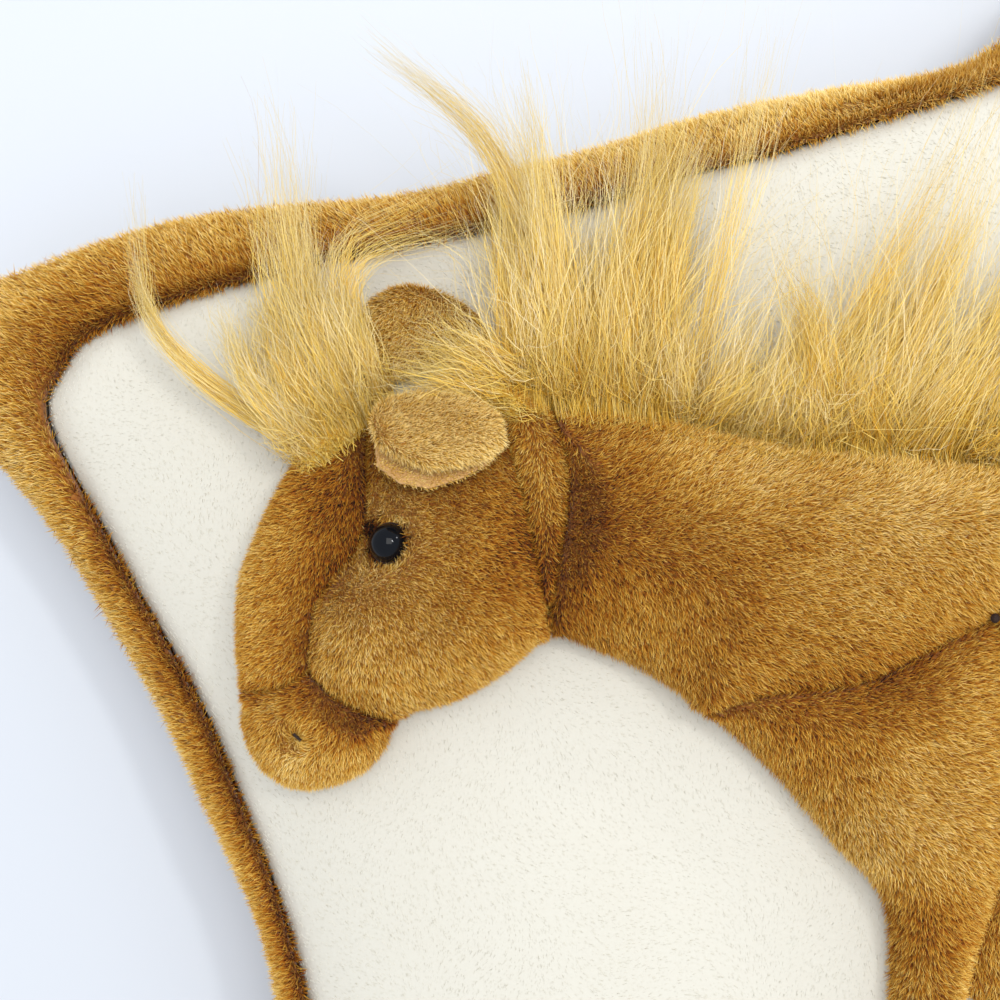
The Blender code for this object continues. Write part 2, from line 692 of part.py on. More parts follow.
def make_head(cutter):
    forehead_free = head_curve(forehead_free_shares)
    forehead_muzzle = head_curve(forehead_muzzle_shares)
    forehead_cheek = head_curve(forehead_cheek_shares)
    cheek_muzzle = head_curve(cheek_muzzle_shares)
    cheek_nape = head_curve(cheek_nape_shares)
    pad(
        "forehead_strip",
        seam(forehead_free, free_edge) + seam(forehead_muzzle, face_seam)
        + seam(forehead_cheek, face_seam),
        spine_of(head_point, forehead_spine_shares, forehead_rise),
        "brown_plush", cutter,
    )
    cheek = pad(
        "cheek",
        seam(forehead_cheek, face_seam, reverse=True) + seam(cheek_muzzle, face_seam)
        + seam(head_curve(jaw_shares), free_edge) + seam(cheek_nape, nape_seam)
        + seam(head_curve(crown_shares), free_edge),
        spine_of(head_point, cheek_spine_shares, cheek_rise),
        "brown_plush", cutter,
    )
    muzzle = pad(
        "muzzle",
        seam(forehead_muzzle, face_seam) + seam(cheek_muzzle, face_seam)
        + seam(head_curve(muzzle_free_shares), free_edge),
        spine_of(head_point, muzzle_spine_shares, muzzle_rise),
        "brown_plush", cutter,
    )
    pad(
        "nape_strip",
        seam(cheek_nape, nape_seam) + seam(head_curve(nape_top_shares), free_edge)
        + seam(head_curve(nape_mane_shares), mane_seam)
        + seam(head_curve(nape_neck_shares), nape_seam),
        spine_of(head_point, nape_spine_shares, nape_rise),
        "brown_plush", cutter,
    )
    return cheek, muzzle


def make_body(cutter):
    nape_neck = head_curve(nape_neck_shares)
    neck_mane = body_curve(neck_mane_shares) + [head_point(nape_neck_shares[0])]
    crease = body_curve(crease_shares)
    neck_barrel = body_curve(neck_barrel_shares)
    shoulder_back = body_curve(shoulder_back_shares)
    brisket = body_curve(brisket_shares)
    flank = body_curve(flank_shares)
    neck = pad(
        "neck",
        seam(nape_neck, nape_seam) + seam(body_curve(underline_shares), free_edge)
        + seam(crease, throat_seam, crease_seam) + seam(neck_barrel, crease_seam, body_seam)
        + seam(neck_mane, mane_seam),
        spine_of(body_point, neck_spine_shares, neck_rise),
        "brown_plush", cutter,
    )
    barrel = pad(
        "barrel",
        seam(neck_barrel, crease_seam, body_seam)
        + seam(body_curve(back_shares), free_edge, reverse=True)
        + seam(flank, body_seam, reverse=True) + seam(body_curve(belly_shares), free_edge, reverse=True)
        + seam(brisket, leg_seam, reverse=True)
        + seam(shoulder_back, crease_seam, reverse=True),
        spine_of(body_point, barrel_spine_shares, barrel_rise),
        "brown_plush", cutter,
    )
    groin = body_curve(groin_shares)
    stifle = body_curve(stifle_shares)
    gaskin = body_curve(gaskin_shares)
    pad(
        "hindquarters",
        seam(flank, body_seam) + seam(body_curve(rump_shares), free_edge)
        + seam(gaskin, leg_seam) + seam(stifle, leg_seam) + seam(groin, leg_seam),
        spine_of(body_point, hindquarters_spine_shares, hindquarters_rise),
        "brown_plush", cutter,
    )
    return neck, barrel


def hoof(name, front, back, rise, cutter):
    """The padded hoof under a leg whose edges end at front and back."""
    def offset(point, shares):
        return (point[0] + shares[0] * hoof_height, point[1] + shares[1] * hoof_height)

    sole = [front, offset(front, hoof_front_shares), offset(front, hoof_toe_shares)]
    heel = [offset(back, hoof_heel_shares), offset(back, hoof_back_shares), back]
    middle_x = (front[0] + back[0]) / 2.0
    middle_y = front[1] - hoof_height / 2.0
    half_line = (back[0] - front[0]) * hoof_line_share
    pad(
        name,
        seam([back, front], leg_seam) + seam(sole, free_edge)
        + seam([sole[-1], heel[0]], free_edge) + seam(heel, free_edge),
        [(middle_x - half_line, middle_y, rise), (middle_x + half_line, middle_y, rise)],
        "dark_brown_plush", cutter,
    )


def make_legs(cutter):
    crease = body_curve(crease_shares)
    chest = body_curve(chest_shares)
    shoulder_back = body_curve(shoulder_back_shares)
    near_back = leg_curve(near_fore_top_share, near_fore_back_shares)
    elbow_back = body_curve(elbow_back_shares) + near_back[:1]
    near_front = leg_curve(near_fore_top_share, near_fore_front_shares)
    near_foreleg = pad(
        "near_foreleg",
        seam(crease, throat_seam, crease_seam, reverse=True)
        + seam(chest + near_front, free_edge)
        + seam([near_front[-1], near_back[-1]], leg_seam)
        + seam(near_back, free_edge, reverse=True)
        + seam(elbow_back, leg_seam, reverse=True) + seam(shoulder_back, crease_seam, reverse=True),
        spine_of(body_point, near_fore_spine_shares, near_leg_rise),
        "brown_plush", cutter,
    )
    far_front = leg_curve(far_fore_top_share, far_fore_front_shares)
    far_back = leg_curve(far_fore_top_share, far_fore_back_shares)
    pad(
        "far_foreleg",
        seam(elbow_back, leg_seam) + seam(elbow_back[-1:] + far_front, free_edge)
        + seam([far_front[-1], far_back[-1]], leg_seam)
        + seam(body_curve(brisket_shares[-1:]) + far_back, free_edge, reverse=True)
        + seam(body_curve(brisket_shares), leg_seam, reverse=True),
        spine_of(body_point, far_fore_spine_shares, far_leg_rise),
        "brown_plush", cutter,
    )
    gaskin = body_curve(gaskin_shares)
    stifle = body_curve(stifle_shares)
    groin = body_curve(groin_shares)
    hind_front = leg_curve(near_hind_top_share, near_hind_front_shares)
    hind_back = leg_curve(near_hind_top_share, near_hind_back_shares)
    pad(
        "near_hind_leg",
        seam(gaskin, leg_seam) + seam(gaskin[-1:] + hind_front, free_edge)
        + seam([hind_front[-1], hind_back[-1]], leg_seam)
        + seam(gaskin[:1] + hind_back, free_edge, reverse=True),
        spine_of(body_point, near_hind_spine_shares, near_leg_rise),
        "brown_plush", cutter,
    )
    off_front = leg_curve(far_hind_top_share, far_hind_front_shares)
    off_back = leg_curve(far_hind_top_share, far_hind_back_shares)
    pad(
        "far_hind_leg",
        seam(groin[::-1][:1] + off_front, free_edge) + seam([off_front[-1], off_back[-1]], leg_seam)
        + seam(stifle[:1] + off_back, free_edge, reverse=True)
        + seam(stifle, leg_seam) + seam(groin, leg_seam),
        spine_of(body_point, far_hind_spine_shares, far_leg_rise),
        "brown_plush", cutter,
    )
    hoof("near_fore_hoof", near_front[-1], near_back[-1], hoof_rise, cutter)
    hoof("far_fore_hoof", far_front[-1], far_back[-1], far_leg_rise, cutter)
    hoof("near_hind_hoof", hind_front[-1], hind_back[-1], hoof_rise, cutter)
    hoof("far_hind_hoof", off_front[-1], off_back[-1], far_leg_rise, cutter)
    return near_foreleg


def turned(name, profile, slot, place, normal):
    """A round piece turned about its own axis, which stands along the normal at the place."""
    turn = normal.to_track_quat("Z", "Y").to_matrix().to_4x4()
    matrix = Matrix.Translation(place) @ turn
    vertices = []
    rows = []
    for radius, height in profile:
        if radius == 0.0:
            rows.append([len(vertices)] * eye_sides)
            vertices.append((0.0, 0.0, height))
            continue
        rows.append([len(vertices) + i for i in range(eye_sides)])
        for i in range(eye_sides):
            angle = 2.0 * math.pi * i / eye_sides
            vertices.append((radius * math.cos(angle), radius * math.sin(angle), height))
    faces = []
    closed = profile[0][0] != 0.0
    pairs = list(zip(rows, rows[1:])) + ([(rows[-1], rows[0])] if closed else [])
    for upper, lower in pairs:
        for i in range(eye_sides):
            corners = [upper[i], upper[(i + 1) % eye_sides], lower[(i + 1) % eye_sides], lower[i]]
            face = list(dict.fromkeys(corners))
            if len(face) > 2:
                faces.append(face)
    made = add_object(name, vertices, faces, slot)
    made.matrix_world = matrix
    return made


def tree_of(thing):
    points = [thing.location + v.co for v in thing.data.vertices]
    return BVHTree.FromPolygons(points, [tuple(p.vertices) for p in thing.data.polygons])


def top_of(trees, x, y):
    """The highest surface over a place, and its normal."""
    best = None
    above = Vector((x, y, seam_height + 10.0 * front_crown))
    for tree in trees:
        place, normal, face, distance = tree.ray_cast(above, Vector((0.0, 0.0, -1.0)))
        if place and (best is None or place.z > best[0].z):
            best = (place, normal)
    return best


def make_eye(cheek):
    place, normal = top_of([tree_of(cheek)], *head_point(eye_share))
    rim_top = eye_rim_thickness - eye_sink
    profile = [(0.0, rim_top + eye_dome_height)]
    for step in range(1, eye_dome_steps + 1):
        angle = math.pi / 2.0 * step / eye_dome_steps
        profile.append(
            (eye_radius * math.sin(angle), rim_top + eye_dome_height * math.cos(angle))
        )
    profile += [
        (eye_rim_radius, rim_top), (eye_rim_radius, -eye_sink), (eye_stem_radius, -eye_sink),
        (eye_stem_radius, -eye_stem_length), (0.0, -eye_stem_length),
    ]
    turned("eye", profile, "black_plastic", place, normal)
    hole = eye_stem_radius + eye_clearance
    washer_low = -washer_drop - washer_thickness
    turned(
        "eye_washer",
        [(hole, -washer_drop), (washer_radius, -washer_drop), (washer_radius, washer_low),
         (hole, washer_low)],
        "white_nylon", place, normal,
    )
    seat = eye_rim_radius + eye_clearance
    pocket = washer_radius + eye_clearance
    above = 2.0 * eye_dome_height
    cutter = turned(
        "eye_cutter",
        [(0.0, above), (seat, above), (seat, -eye_sink - eye_clearance),
         (hole, -eye_sink - eye_clearance), (hole, -washer_drop + eye_clearance),
         (pocket, -washer_drop + eye_clearance), (pocket, washer_low - eye_clearance),
         (hole, washer_low - eye_clearance), (hole, -eye_stem_length - eye_clearance),
         (0.0, -eye_stem_length - eye_clearance)],
        "fibre_fill", place, normal,
    )
    cut(cheek, cutter)


def make_nostril(muzzle):
    place, normal = top_of([tree_of(muzzle)], *head_point(nostril_share))
    ball = bmesh.new()
    bmesh.ops.create_icosphere(ball, subdivisions=2, radius=nostril_radius)
    centre = place + normal * (nostril_radius - nostril_depth)
    vertices = [centre + v.co for v in ball.verts]
    faces = [[v.index for v in f.verts] for f in ball.faces]
    ball.free()
    cut(muzzle, add_object("nostril_cutter", vertices, faces, "fibre_fill"))
    half = stitch_thickness / 2.0
    rise = nostril_radius - math.sqrt(nostril_radius ** 2 - (stitch_length / 2.0) ** 2)
    lift = half + rise + seat_gap - nostril_depth
    along = Vector((math.cos(nostril_turn), math.sin(nostril_turn), 0.0))
    along = (along - normal * along.dot(normal)).normalized()
    middle = place + normal * lift
    thread = bpy.data.curves.new("nostril_stitch", "CURVE")
    thread.dimensions = "3D"
    thread.bevel_depth = half
    thread.bevel_resolution = 1
    thread.use_fill_caps = True
    line = thread.splines.new("POLY")
    line.points.add(1)
    line.points[0].co = (*(middle - along * stitch_length / 2.0), 1.0)
    line.points[1].co = (*(middle + along * stitch_length / 2.0), 1.0)
    thread.materials.append(material("dark_thread-nostril_stitch"))
    thing = bpy.data.objects.new("nostril_stitch", thread)
    bpy.context.scene.collection.objects.link(thing)


def make_tack(pads):
    trees = [tree_of(p) for p in pads]
    x, y = body_point(tack_share)
    heights = [top_of(trees, x, y)]
    for i in range(8):
        angle = math.pi / 4.0 * i
        heights.append(
            top_of(trees, x + tack_radius * math.cos(angle), y + tack_radius * math.sin(angle))
        )
    low = max(h[0].z for h in heights if h) + tack_gap
    profile = [(a * tack_radius, b * tack_height) for a, b in tack_profile_shares]
    turned("shoulder_tack", profile, "dark_thread", Vector((x, y, low)), Vector((0.0, 0.0, 1.0)))


def resting_plane(points, trees):
    """Heights of a leaning plane that clears the surfaces under the points."""
    rows = np.array([(x, y, 1.0) for x, y in points])
    heights = []
    for x, y in points:
        found = top_of(trees, x, y)
        heights.append(max(found[0].z, front_height(x, y)) if found else front_height(x, y))
    heights = np.array(heights)
    slope_x, slope_y = ear_lean_share * np.linalg.lstsq(rows, heights, rcond=None)[0][:2]
    level = float(np.max(heights - rows[:, :2] @ np.array([slope_x, slope_y]))) + ear_gap

    def height(x, y):
        return slope_x * x + slope_y * y + level

    return height


def report_hinge(name, place, across, height):
    """Prints a hinge's place and its axis, which lies in the surface that the piece rests on."""
    rise = height(place[0] + across[0], place[1] + across[1]) - height(place[0], place[1])
    axis = Vector((*across, rise)).normalized()
    print(name, "hinge", [round(c, 5) for c in place], "axis", [round(c, 4) for c in axis])


def make_ear(name, root, turn, length, width, shares, trees):
    """An ear of two layers that folds flat on what is under it, hinged along its sewn root."""
    along = (math.cos(turn), math.sin(turn))

    def place(a, b):
        return (
            root[0] + along[0] * a - along[1] * b,
            root[1] + along[1] * a + along[0] * b,
        )

    outline = [place(a * length, b * width) for a, b in shares]
    spine = [(*place(share * length, 0.0), ear_thickness) for share in ear_spine_shares]
    flap = seam(outline, ear_edge)
    samples = [
        (spine[0][0] + (x - spine[0][0]) * share, spine[0][1] + (y - spine[0][1]) * share)
        for x, y, rim in flap for share in ear_sample_shares
    ]
    plane = resting_plane(samples, trees)

    def upper(x, y):
        return plane(x, y) + ear_lining_thickness + ear_gap

    hinge_x, hinge_y = place(min(a for a, b in shares) * length, 0.0)
    hinge = (hinge_x, hinge_y, plane(hinge_x, hinge_y))
    vertices, faces = pad_mesh(flap, spine, upper, upper, dome)
    add_object(name, vertices, faces, "brown_plush", hinge)
    shift = [
        place(max(a, 0.0) * length * lining_share, b * width * lining_share - lining_overhang)
        for a, b in shares
    ]
    lining = seam(shift, ear_lining_thickness)
    thin = [(x, y, ear_lining_thickness) for x, y, rise in spine]
    vertices, faces = pad_mesh(lining, thin, plane, plane, dome)
    add_object(f"{name}_lining", vertices, faces, "inner_ear_plush", hinge)
    report_hinge(name, hinge, (along[1], -along[0]), plane)


def make_hair(cutter):
    mane_root = head_curve(nape_mane_shares)
    neck_mane = body_curve(neck_mane_shares) + [head_point(nape_neck_shares[0])]
    tips = []
    for root, reach in mane_places:
        x, y = body_point(root)
        tips.append((x + reach[0] * mane_length, y + reach[1] * mane_length))
    pad(
        "mane",
        seam(neck_mane[:1] + tips + mane_root[:1], hair_edge) + seam(mane_root, mane_seam)
        + seam(neck_mane, mane_seam, reverse=True),
        spine_of(body_point, mane_spine_shares, mane_rise),
        "golden_pile", cutter, wedge,
    )
    root = head_curve(forehead_free_shares[:4])
    x, y = head_point(forelock_root_share)
    tips = [(x + a * forelock_length, y + b * forelock_length) for a, b in forelock_shares]
    pad(
        "forelock",
        seam(root[-1:] + tips + root[:1], hair_edge) + seam(root, mane_seam),
        spine_of(head_point, forelock_spine_shares, forelock_rise),
        "golden_pile", cutter, wedge,
    )
    x, y = body_point(tail_root_share)
    outline = [(x + a * tail_length, y + b * tail_length) for a, b in tail_shares]
    hinge_x = x + tail_hinge_share[0] * tail_length
    hinge_y = y + tail_hinge_share[1] * tail_length
    hinge = (hinge_x, hinge_y, front_height(hinge_x, hinge_y) + seat_gap)
    spine = [(x + a * tail_length, y + b * tail_length, tail_rise) for a, b in tail_spine_shares]
    pad(
        "tail",
        seam(outline, free_edge),
        spine,
        "golden_pile", cutter, dome, hinge,
    )
    run = Vector((spine[1][0] - spine[0][0], spine[1][1] - spine[0][1])).normalized()

    def face_plane(px, py):
        step = tail_rise
        rise_x = front_height(hinge_x + step, hinge_y) - front_height(hinge_x - step, hinge_y)
        rise_y = front_height(hinge_x, hinge_y + step) - front_height(hinge_x, hinge_y - step)
        return hinge[2] + (rise_x * (px - hinge_x) + rise_y * (py - hinge_y)) / (2.0 * step)

    report_hinge("tail", hinge, (run.y, -run.x), face_plane)


clear_scene()
make_cushion()
face_cutter = make_face_cutter()
cheek, muzzle = make_head(face_cutter)
neck, barrel = make_body(face_cutter)
near_foreleg = make_legs(face_cutter)
make_nostril(muzzle)
head_pads = [bpy.data.objects[name] for name in ("cheek", "forehead_strip", "nape_strip")]
head_trees = [tree_of(thing) for thing in head_pads]
make_ear(
    "near_ear", head_point(ear_root_share), ear_turn, ear_length, ear_width, ear_shares, head_trees
)
make_ear(
    "far_ear", head_point(far_ear_root_share), far_ear_turn, far_ear_length, far_ear_width,
    far_ear_shares, head_trees,
)
make_eye(cheek)
make_tack([neck, barrel, near_foreleg])
make_hair(face_cutter)
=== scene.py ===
import math

import bmesh
import bpy
import numpy as np
from mathutils import Matrix, Vector
from mathutils.bvhtree import BVHTree


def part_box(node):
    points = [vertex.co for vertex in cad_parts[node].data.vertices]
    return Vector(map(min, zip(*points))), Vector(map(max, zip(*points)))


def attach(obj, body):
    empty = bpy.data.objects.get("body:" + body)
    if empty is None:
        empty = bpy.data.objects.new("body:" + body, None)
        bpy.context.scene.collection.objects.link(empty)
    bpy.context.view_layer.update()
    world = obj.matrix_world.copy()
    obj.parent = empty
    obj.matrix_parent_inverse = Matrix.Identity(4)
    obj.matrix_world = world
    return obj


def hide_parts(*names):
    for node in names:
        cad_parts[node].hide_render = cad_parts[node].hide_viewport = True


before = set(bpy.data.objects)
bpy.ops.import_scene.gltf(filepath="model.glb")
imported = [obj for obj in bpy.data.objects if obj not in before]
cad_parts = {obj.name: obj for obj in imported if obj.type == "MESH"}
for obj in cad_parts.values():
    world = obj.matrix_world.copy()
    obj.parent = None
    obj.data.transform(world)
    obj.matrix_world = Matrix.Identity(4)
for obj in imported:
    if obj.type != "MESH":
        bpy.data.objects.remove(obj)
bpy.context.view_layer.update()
millimetre = 0.001


# Shared helpers

def linearColour(code):
    parts = [int(code[i:i + 2], 16) / 255 for i in (1, 3, 5)]
    return [c / 12.92 if c <= 0.04045 else ((c + 0.055) / 1.055) ** 2.4 for c in parts] + [1.0]


def addNode(tree, kind, links=None, **settings):
    # one node with its settings, input values and links; a node given as a value stands for its first output
    made = tree.nodes.new(kind)
    for key, value in settings.items():
        setattr(made, key, value)
    for key, value in (links or {}).items():
        if isinstance(value, bpy.types.Node):
            value = value.outputs[0]
        if isinstance(value, bpy.types.NodeSocket):
            tree.links.new(value, made.inputs[key])
        else:
            made.inputs[key].default_value = value
    return made


def newMaterial(name, values):
    made = bpy.data.materials.new(name)
    made.use_nodes = True
    shader = made.node_tree.nodes["Principled BSDF"]
    for key, value in values.items():
        shader.inputs[key].default_value = value
    return made, made.node_tree, shader


def colourRamp(tree, factor, stops):
    ramp = addNode(tree, "ShaderNodeValToRGB", {"Fac": factor})
    points = ramp.color_ramp.elements
    while len(points) < len(stops):
        points.new(0.5)
    for point, (place, code) in zip(points, stops):
        point.position = place
        point.color = linearColour(code)
    return ramp.outputs["Color"]


def smoothStep(values, low, high):
    t = np.clip((values - low) / (high - low), 0.0, 1.0)
    return t * t * (3.0 - 2.0 * t)


def addMesh(name, points, faces, material=None, smooth=True):
    mesh = bpy.data.meshes.new(name)
    mesh.from_pydata([tuple(p) for p in points], [], faces)
    if smooth:
        mesh.shade_smooth()
    made = bpy.data.objects.new(name, mesh)
    bpy.context.scene.collection.objects.link(made)
    if material:
        mesh.materials.append(material)
    return made


def meshArrays(thing):
    mesh = thing.data
    points = np.empty(len(mesh.vertices) * 3, np.float32)
    mesh.vertices.foreach_get("co", points)
    normals = np.empty(len(mesh.vertices) * 3, np.float32)
    mesh.vertices.foreach_get("normal", normals)
    return points.reshape(-1, 3).astype(float), normals.reshape(-1, 3).astype(float)


def setPoints(thing, points):
    thing.data.vertices.foreach_set("co", points.astype(np.float32).ravel())
    thing.data.update()


def setAttribute(thing, name, values, kind="FLOAT"):
    layer = thing.data.attributes.new(name, kind, "POINT")
    layer.data.foreach_set("vector" if kind == "FLOAT_VECTOR" else "value", values.astype(np.float32).ravel())


def settled(thing):
    # the object's mesh with its modifiers made real
    shown = bpy.context.evaluated_depsgraph_get()
    mesh = bpy.data.meshes.new_from_object(thing.evaluated_get(shown), depsgraph=shown)
    thing.modifiers.clear()
    thing.data = mesh
    return thing


def softNoise(points, size, seed):
    # a few sines at unlike angles: smooth, repeatable, between -1 and 1
    chooser = np.random.default_rng(seed)
    total = np.zeros(len(points))
    for octave in range(6):
        way = chooser.normal(size=3)
        way /= np.linalg.norm(way)
        pace = 2.0 * math.pi / size * chooser.uniform(0.6, 1.6)
        total += np.sin(points @ way * pace + chooser.uniform(0, 6.28))
    return total / 3.5


def dress(thing, body, node=None):
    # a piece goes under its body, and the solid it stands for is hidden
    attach(thing, body)
    if node:
        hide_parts(node)


def prepareSkin(skin, tint, sown, lengths, comb):
    # where the pile grows on a skin, how long, in which colour and which way
    setAttribute(skin, "tint", tint)
    setAttribute(skin, "pile", sown.astype(float))
    setAttribute(skin, "pileLength", lengths)
    setAttribute(skin, "comb", comb, "FLOAT_VECTOR")


def pointOutwards(thing):
    shell = bmesh.new()
    shell.from_mesh(thing.data)
    bmesh.ops.recalc_face_normals(shell, faces=shell.faces)
    if shell.calc_volume(signed=True) < 0.0:
        bmesh.ops.reverse_faces(shell, faces=shell.faces)
    shell.to_mesh(thing.data)
    shell.free()


def treeOver(things):
    points, faces = [], []
    for thing in things:
        start = len(points)
        points += [v.co.copy() for v in thing.data.vertices]
        faces += [tuple(start + i for i in p.vertices) for p in thing.data.polygons]
    return BVHTree.FromPolygons(points, faces)


def camelName(node):
    first, *others = node.split("_")
    return first + "".join(word.capitalize() for word in others)


# The photograph's camera

camera = {"x": -0.085, "y": 0.105, "height": 0.481, "rollDegrees": 17.2, "lens": 50.0, "sensor": 36.0}
rollAngle = math.radians(camera["rollDegrees"])
pixelFocal = camera["lens"] / camera["sensor"] * 1000.0
rightWay = np.array([math.cos(rollAngle), -math.sin(rollAngle)])
upWay = np.array([math.sin(rollAngle), math.cos(rollAngle)])


def fromPhoto(px, py, height):
    # where a pixel of the photograph lies on a level plane
    reach = (camera["height"] - height) / pixelFocal
    place = rightWay * (px - 500.0) * reach - upWay * (py - 500.0) * reach
    return np.array([camera["x"] + place[0], camera["y"] + place[1], height])


headHeight, rimHeight = 0.105, 0.065  # of the head's pile and of the cushion's rim over the table


# The cushion's form

cushion = {
    "halfSide": 0.1995, "sideDraw": 0.0381, "sideEase": 0.25, "cornerPower": 14.0,
    "panelHalf": (0.185, 0.1795), "panelOut": (0.033, 0.018), "panelPower": 9.0,
    "seamHeight": 0.040, "frontCrown": 0.058, "backDrop": 0.0405, "frontPower": 2.2, "backPower": 2.6,
    "seamFade": 24.0, "columnsPerSide": 44, "fabric": 0.0018,
    "borderPuff": 0.0062, "panelTuck": 0.0020, "borderTuck": 0.0012, "lump": 0.0011,
    "panelSink": 0.0006, "seamGap": 0.00025,
}


def drawnIn(share):
    soft = cushion["sideEase"]
    return (np.hypot(share, soft) - soft) / (math.hypot(1.0, soft) - soft)


def outlineReach(way, halfX, halfY, outX, outY, power):
    x, y = np.abs(way[:, 0]), np.abs(way[:, 1])
    out = drawnIn(np.minimum(x, y) / np.maximum(np.maximum(x, y), 1e-9))
    return 1.0 / ((x / (halfX + outX * out)) ** power + (y / (halfY + outY * out)) ** power) ** (1.0 / power)


def cushionReach(way):
    c = cushion
    return outlineReach(way, c["halfSide"], c["halfSide"], c["sideDraw"], c["sideDraw"], c["cornerPower"])


def panelReach(way):
    return outlineReach(way, *cushion["panelHalf"], *cushion["panelOut"], cushion["panelPower"])


def crownShare(x, y, power):
    c = cushion
    distance = np.maximum(np.hypot(x, y), 1e-6)
    share = np.minimum(distance / cushionReach(np.stack([x / distance, y / distance], 1)), 1.0)
    corner = c["halfSide"] + c["sideDraw"]
    across = np.abs(x) / (c["halfSide"] + c["sideDraw"] * drawnIn(np.abs(y) / corner))
    along = np.abs(y) / (c["halfSide"] + c["sideDraw"] * drawnIn(np.abs(x) / corner))
    fullness = np.clip(1.0 - across ** power, 0, None) * np.clip(1.0 - along ** power, 0, None)
    return np.sqrt(fullness * (1.0 - share ** c["seamFade"]))


def frontHeight(x, y):
    return cushion["seamHeight"] + cushion["frontCrown"] * crownShare(x, y, cushion["frontPower"])


def heightOver(points):
    return points[:, 2] - frontHeight(points[:, 0], points[:, 1])


def backHeight(x, y):
    drop = cushion["backDrop"] * crownShare(x, y, cushion["backPower"])
    return np.maximum(cushion["seamHeight"] - drop, 0.0)


def columnWays():
    ways = []
    for side in range(4):
        for step in range(cushion["columnsPerSide"]):
            along = math.sin(math.pi / 2.0 * (2.0 * step / cushion["columnsPerSide"] - 1.0))
            angle = side * math.pi / 2.0 + math.atan(along)
            ways.append((math.cos(angle), math.sin(angle)))
    return np.array(ways)


def sheetOfRings(name, outside, inside, material, poleFirst=False, poleLast=False):
    # a closed skin between two stacks of rings
    count = outside.shape[1]
    points, faces, starts = [], [], []

    def band(a, b):
        return [(a + i, a + (i + 1) % count, b + (i + 1) % count, b + i) for i in range(count)]

    for flip, stack in ((False, outside), (True, inside)):
        rings, stackFaces = [], []
        for index, ring in enumerate(stack):
            isPole = (poleFirst and index == 0) or (poleLast and index == len(stack) - 1)
            rings.append((len(points), isPole))
            points += [ring.mean(0)] if isPole else list(ring)
        starts.append(rings)
        for (a, aPole), (b, bPole) in zip(rings, rings[1:]):
            if aPole:
                stackFaces += [(a, b + (i + 1) % count, b + i) for i in range(count)]
            elif bPole:
                stackFaces += [(a + i, a + (i + 1) % count, b) for i in range(count)]
            else:
                stackFaces += band(a, b)
        faces += [tuple(reversed(f)) for f in stackFaces] if flip else stackFaces
    if not poleFirst:
        faces += band(starts[1][0][0], starts[0][0][0])
    if not poleLast:
        faces += band(starts[0][-1][0], starts[1][-1][0])
    made = addMesh(name, points, faces, material)
    pointOutwards(made)
    return made


# Materials

# cut acrylic plush: along U the black fringe of the eye, then deep red-brown to pale gold
pileStops = [
    (0.0, "#0B0705"), (0.055, "#120B07"), (0.10, "#5A2408"), (0.25, "#964C0A"), (0.45, "#BD7A16"),
    (0.65, "#D6A43D"), (0.85, "#EEC868"), (1.0, "#FAE098"),
]
hairStops = [
    (0.0, "#BA7E18"), (0.2, "#DFAA2E"), (0.45, "#F2CF60"), (0.7, "#F6DE94"), (0.9, "#F8E8BE"),
    (1.0, "#FAF0DA"),
]
creamStops = [(0.0, "#CECBBE"), (0.5, "#D1CEC2"), (1.0, "#D4D2C7")]
fringeEnd = 0.08  # up to here along U a strand is black from root to tip


def pileMaterial(name, stops, rootShade, tipShade, roughness, sheen, tipGain):
    # U holds the strand's colour, V runs from its root to its tip
    made, tree, shader = newMaterial(name, {
        "Roughness": roughness, "Sheen Weight": sheen, "Sheen Roughness": 0.5, "Specular IOR Level": 0.25})
    place = addNode(tree, "ShaderNodeUVMap", uv_map="OFBake")
    split = addNode(tree, "ShaderNodeSeparateXYZ", {"Vector": place}).outputs
    # tipGain shifts the colour paler towards the tip: painted light on the tips
    rising = addNode(tree, "ShaderNodeMapRange", {
        "Value": split["Y"], "To Min": -0.5 * tipGain, "To Max": 0.5 * tipGain})
    isColoured = addNode(tree, "ShaderNodeMath", {0: split["X"], 1: fringeEnd}, operation="GREATER_THAN")
    shift = addNode(tree, "ShaderNodeMath", {
        0: isColoured, 1: rising, 2: split["X"]}, operation="MULTIPLY_ADD")
    # rootShade darkens the colour towards the root, painted shade between the strands; tipShade darkens it
    # towards the tip
    lower = addNode(tree, "ShaderNodeMapRange", {
        "Value": split["Y"], "From Max": 0.55, "To Min": rootShade, "To Max": 1.0})
    upper = addNode(tree, "ShaderNodeMapRange", {
        "Value": split["Y"], "From Min": 0.55, "To Min": 1.0, "To Max": tipShade})
    dimmed = addNode(tree, "ShaderNodeMath", {0: lower, 1: upper}, operation="MULTIPLY")
    grey = addNode(tree, "ShaderNodeCombineColor", {"Red": dimmed, "Green": dimmed, "Blue": dimmed})
    shaded = addNode(tree, "ShaderNodeMix", {
        "Factor": 1.0, 6: colourRamp(tree, shift, stops), 7: grey}, data_type="RGBA", blend_type="MULTIPLY")
    tree.links.new(shaded.outputs[2], shader.inputs["Base Color"])
    return made


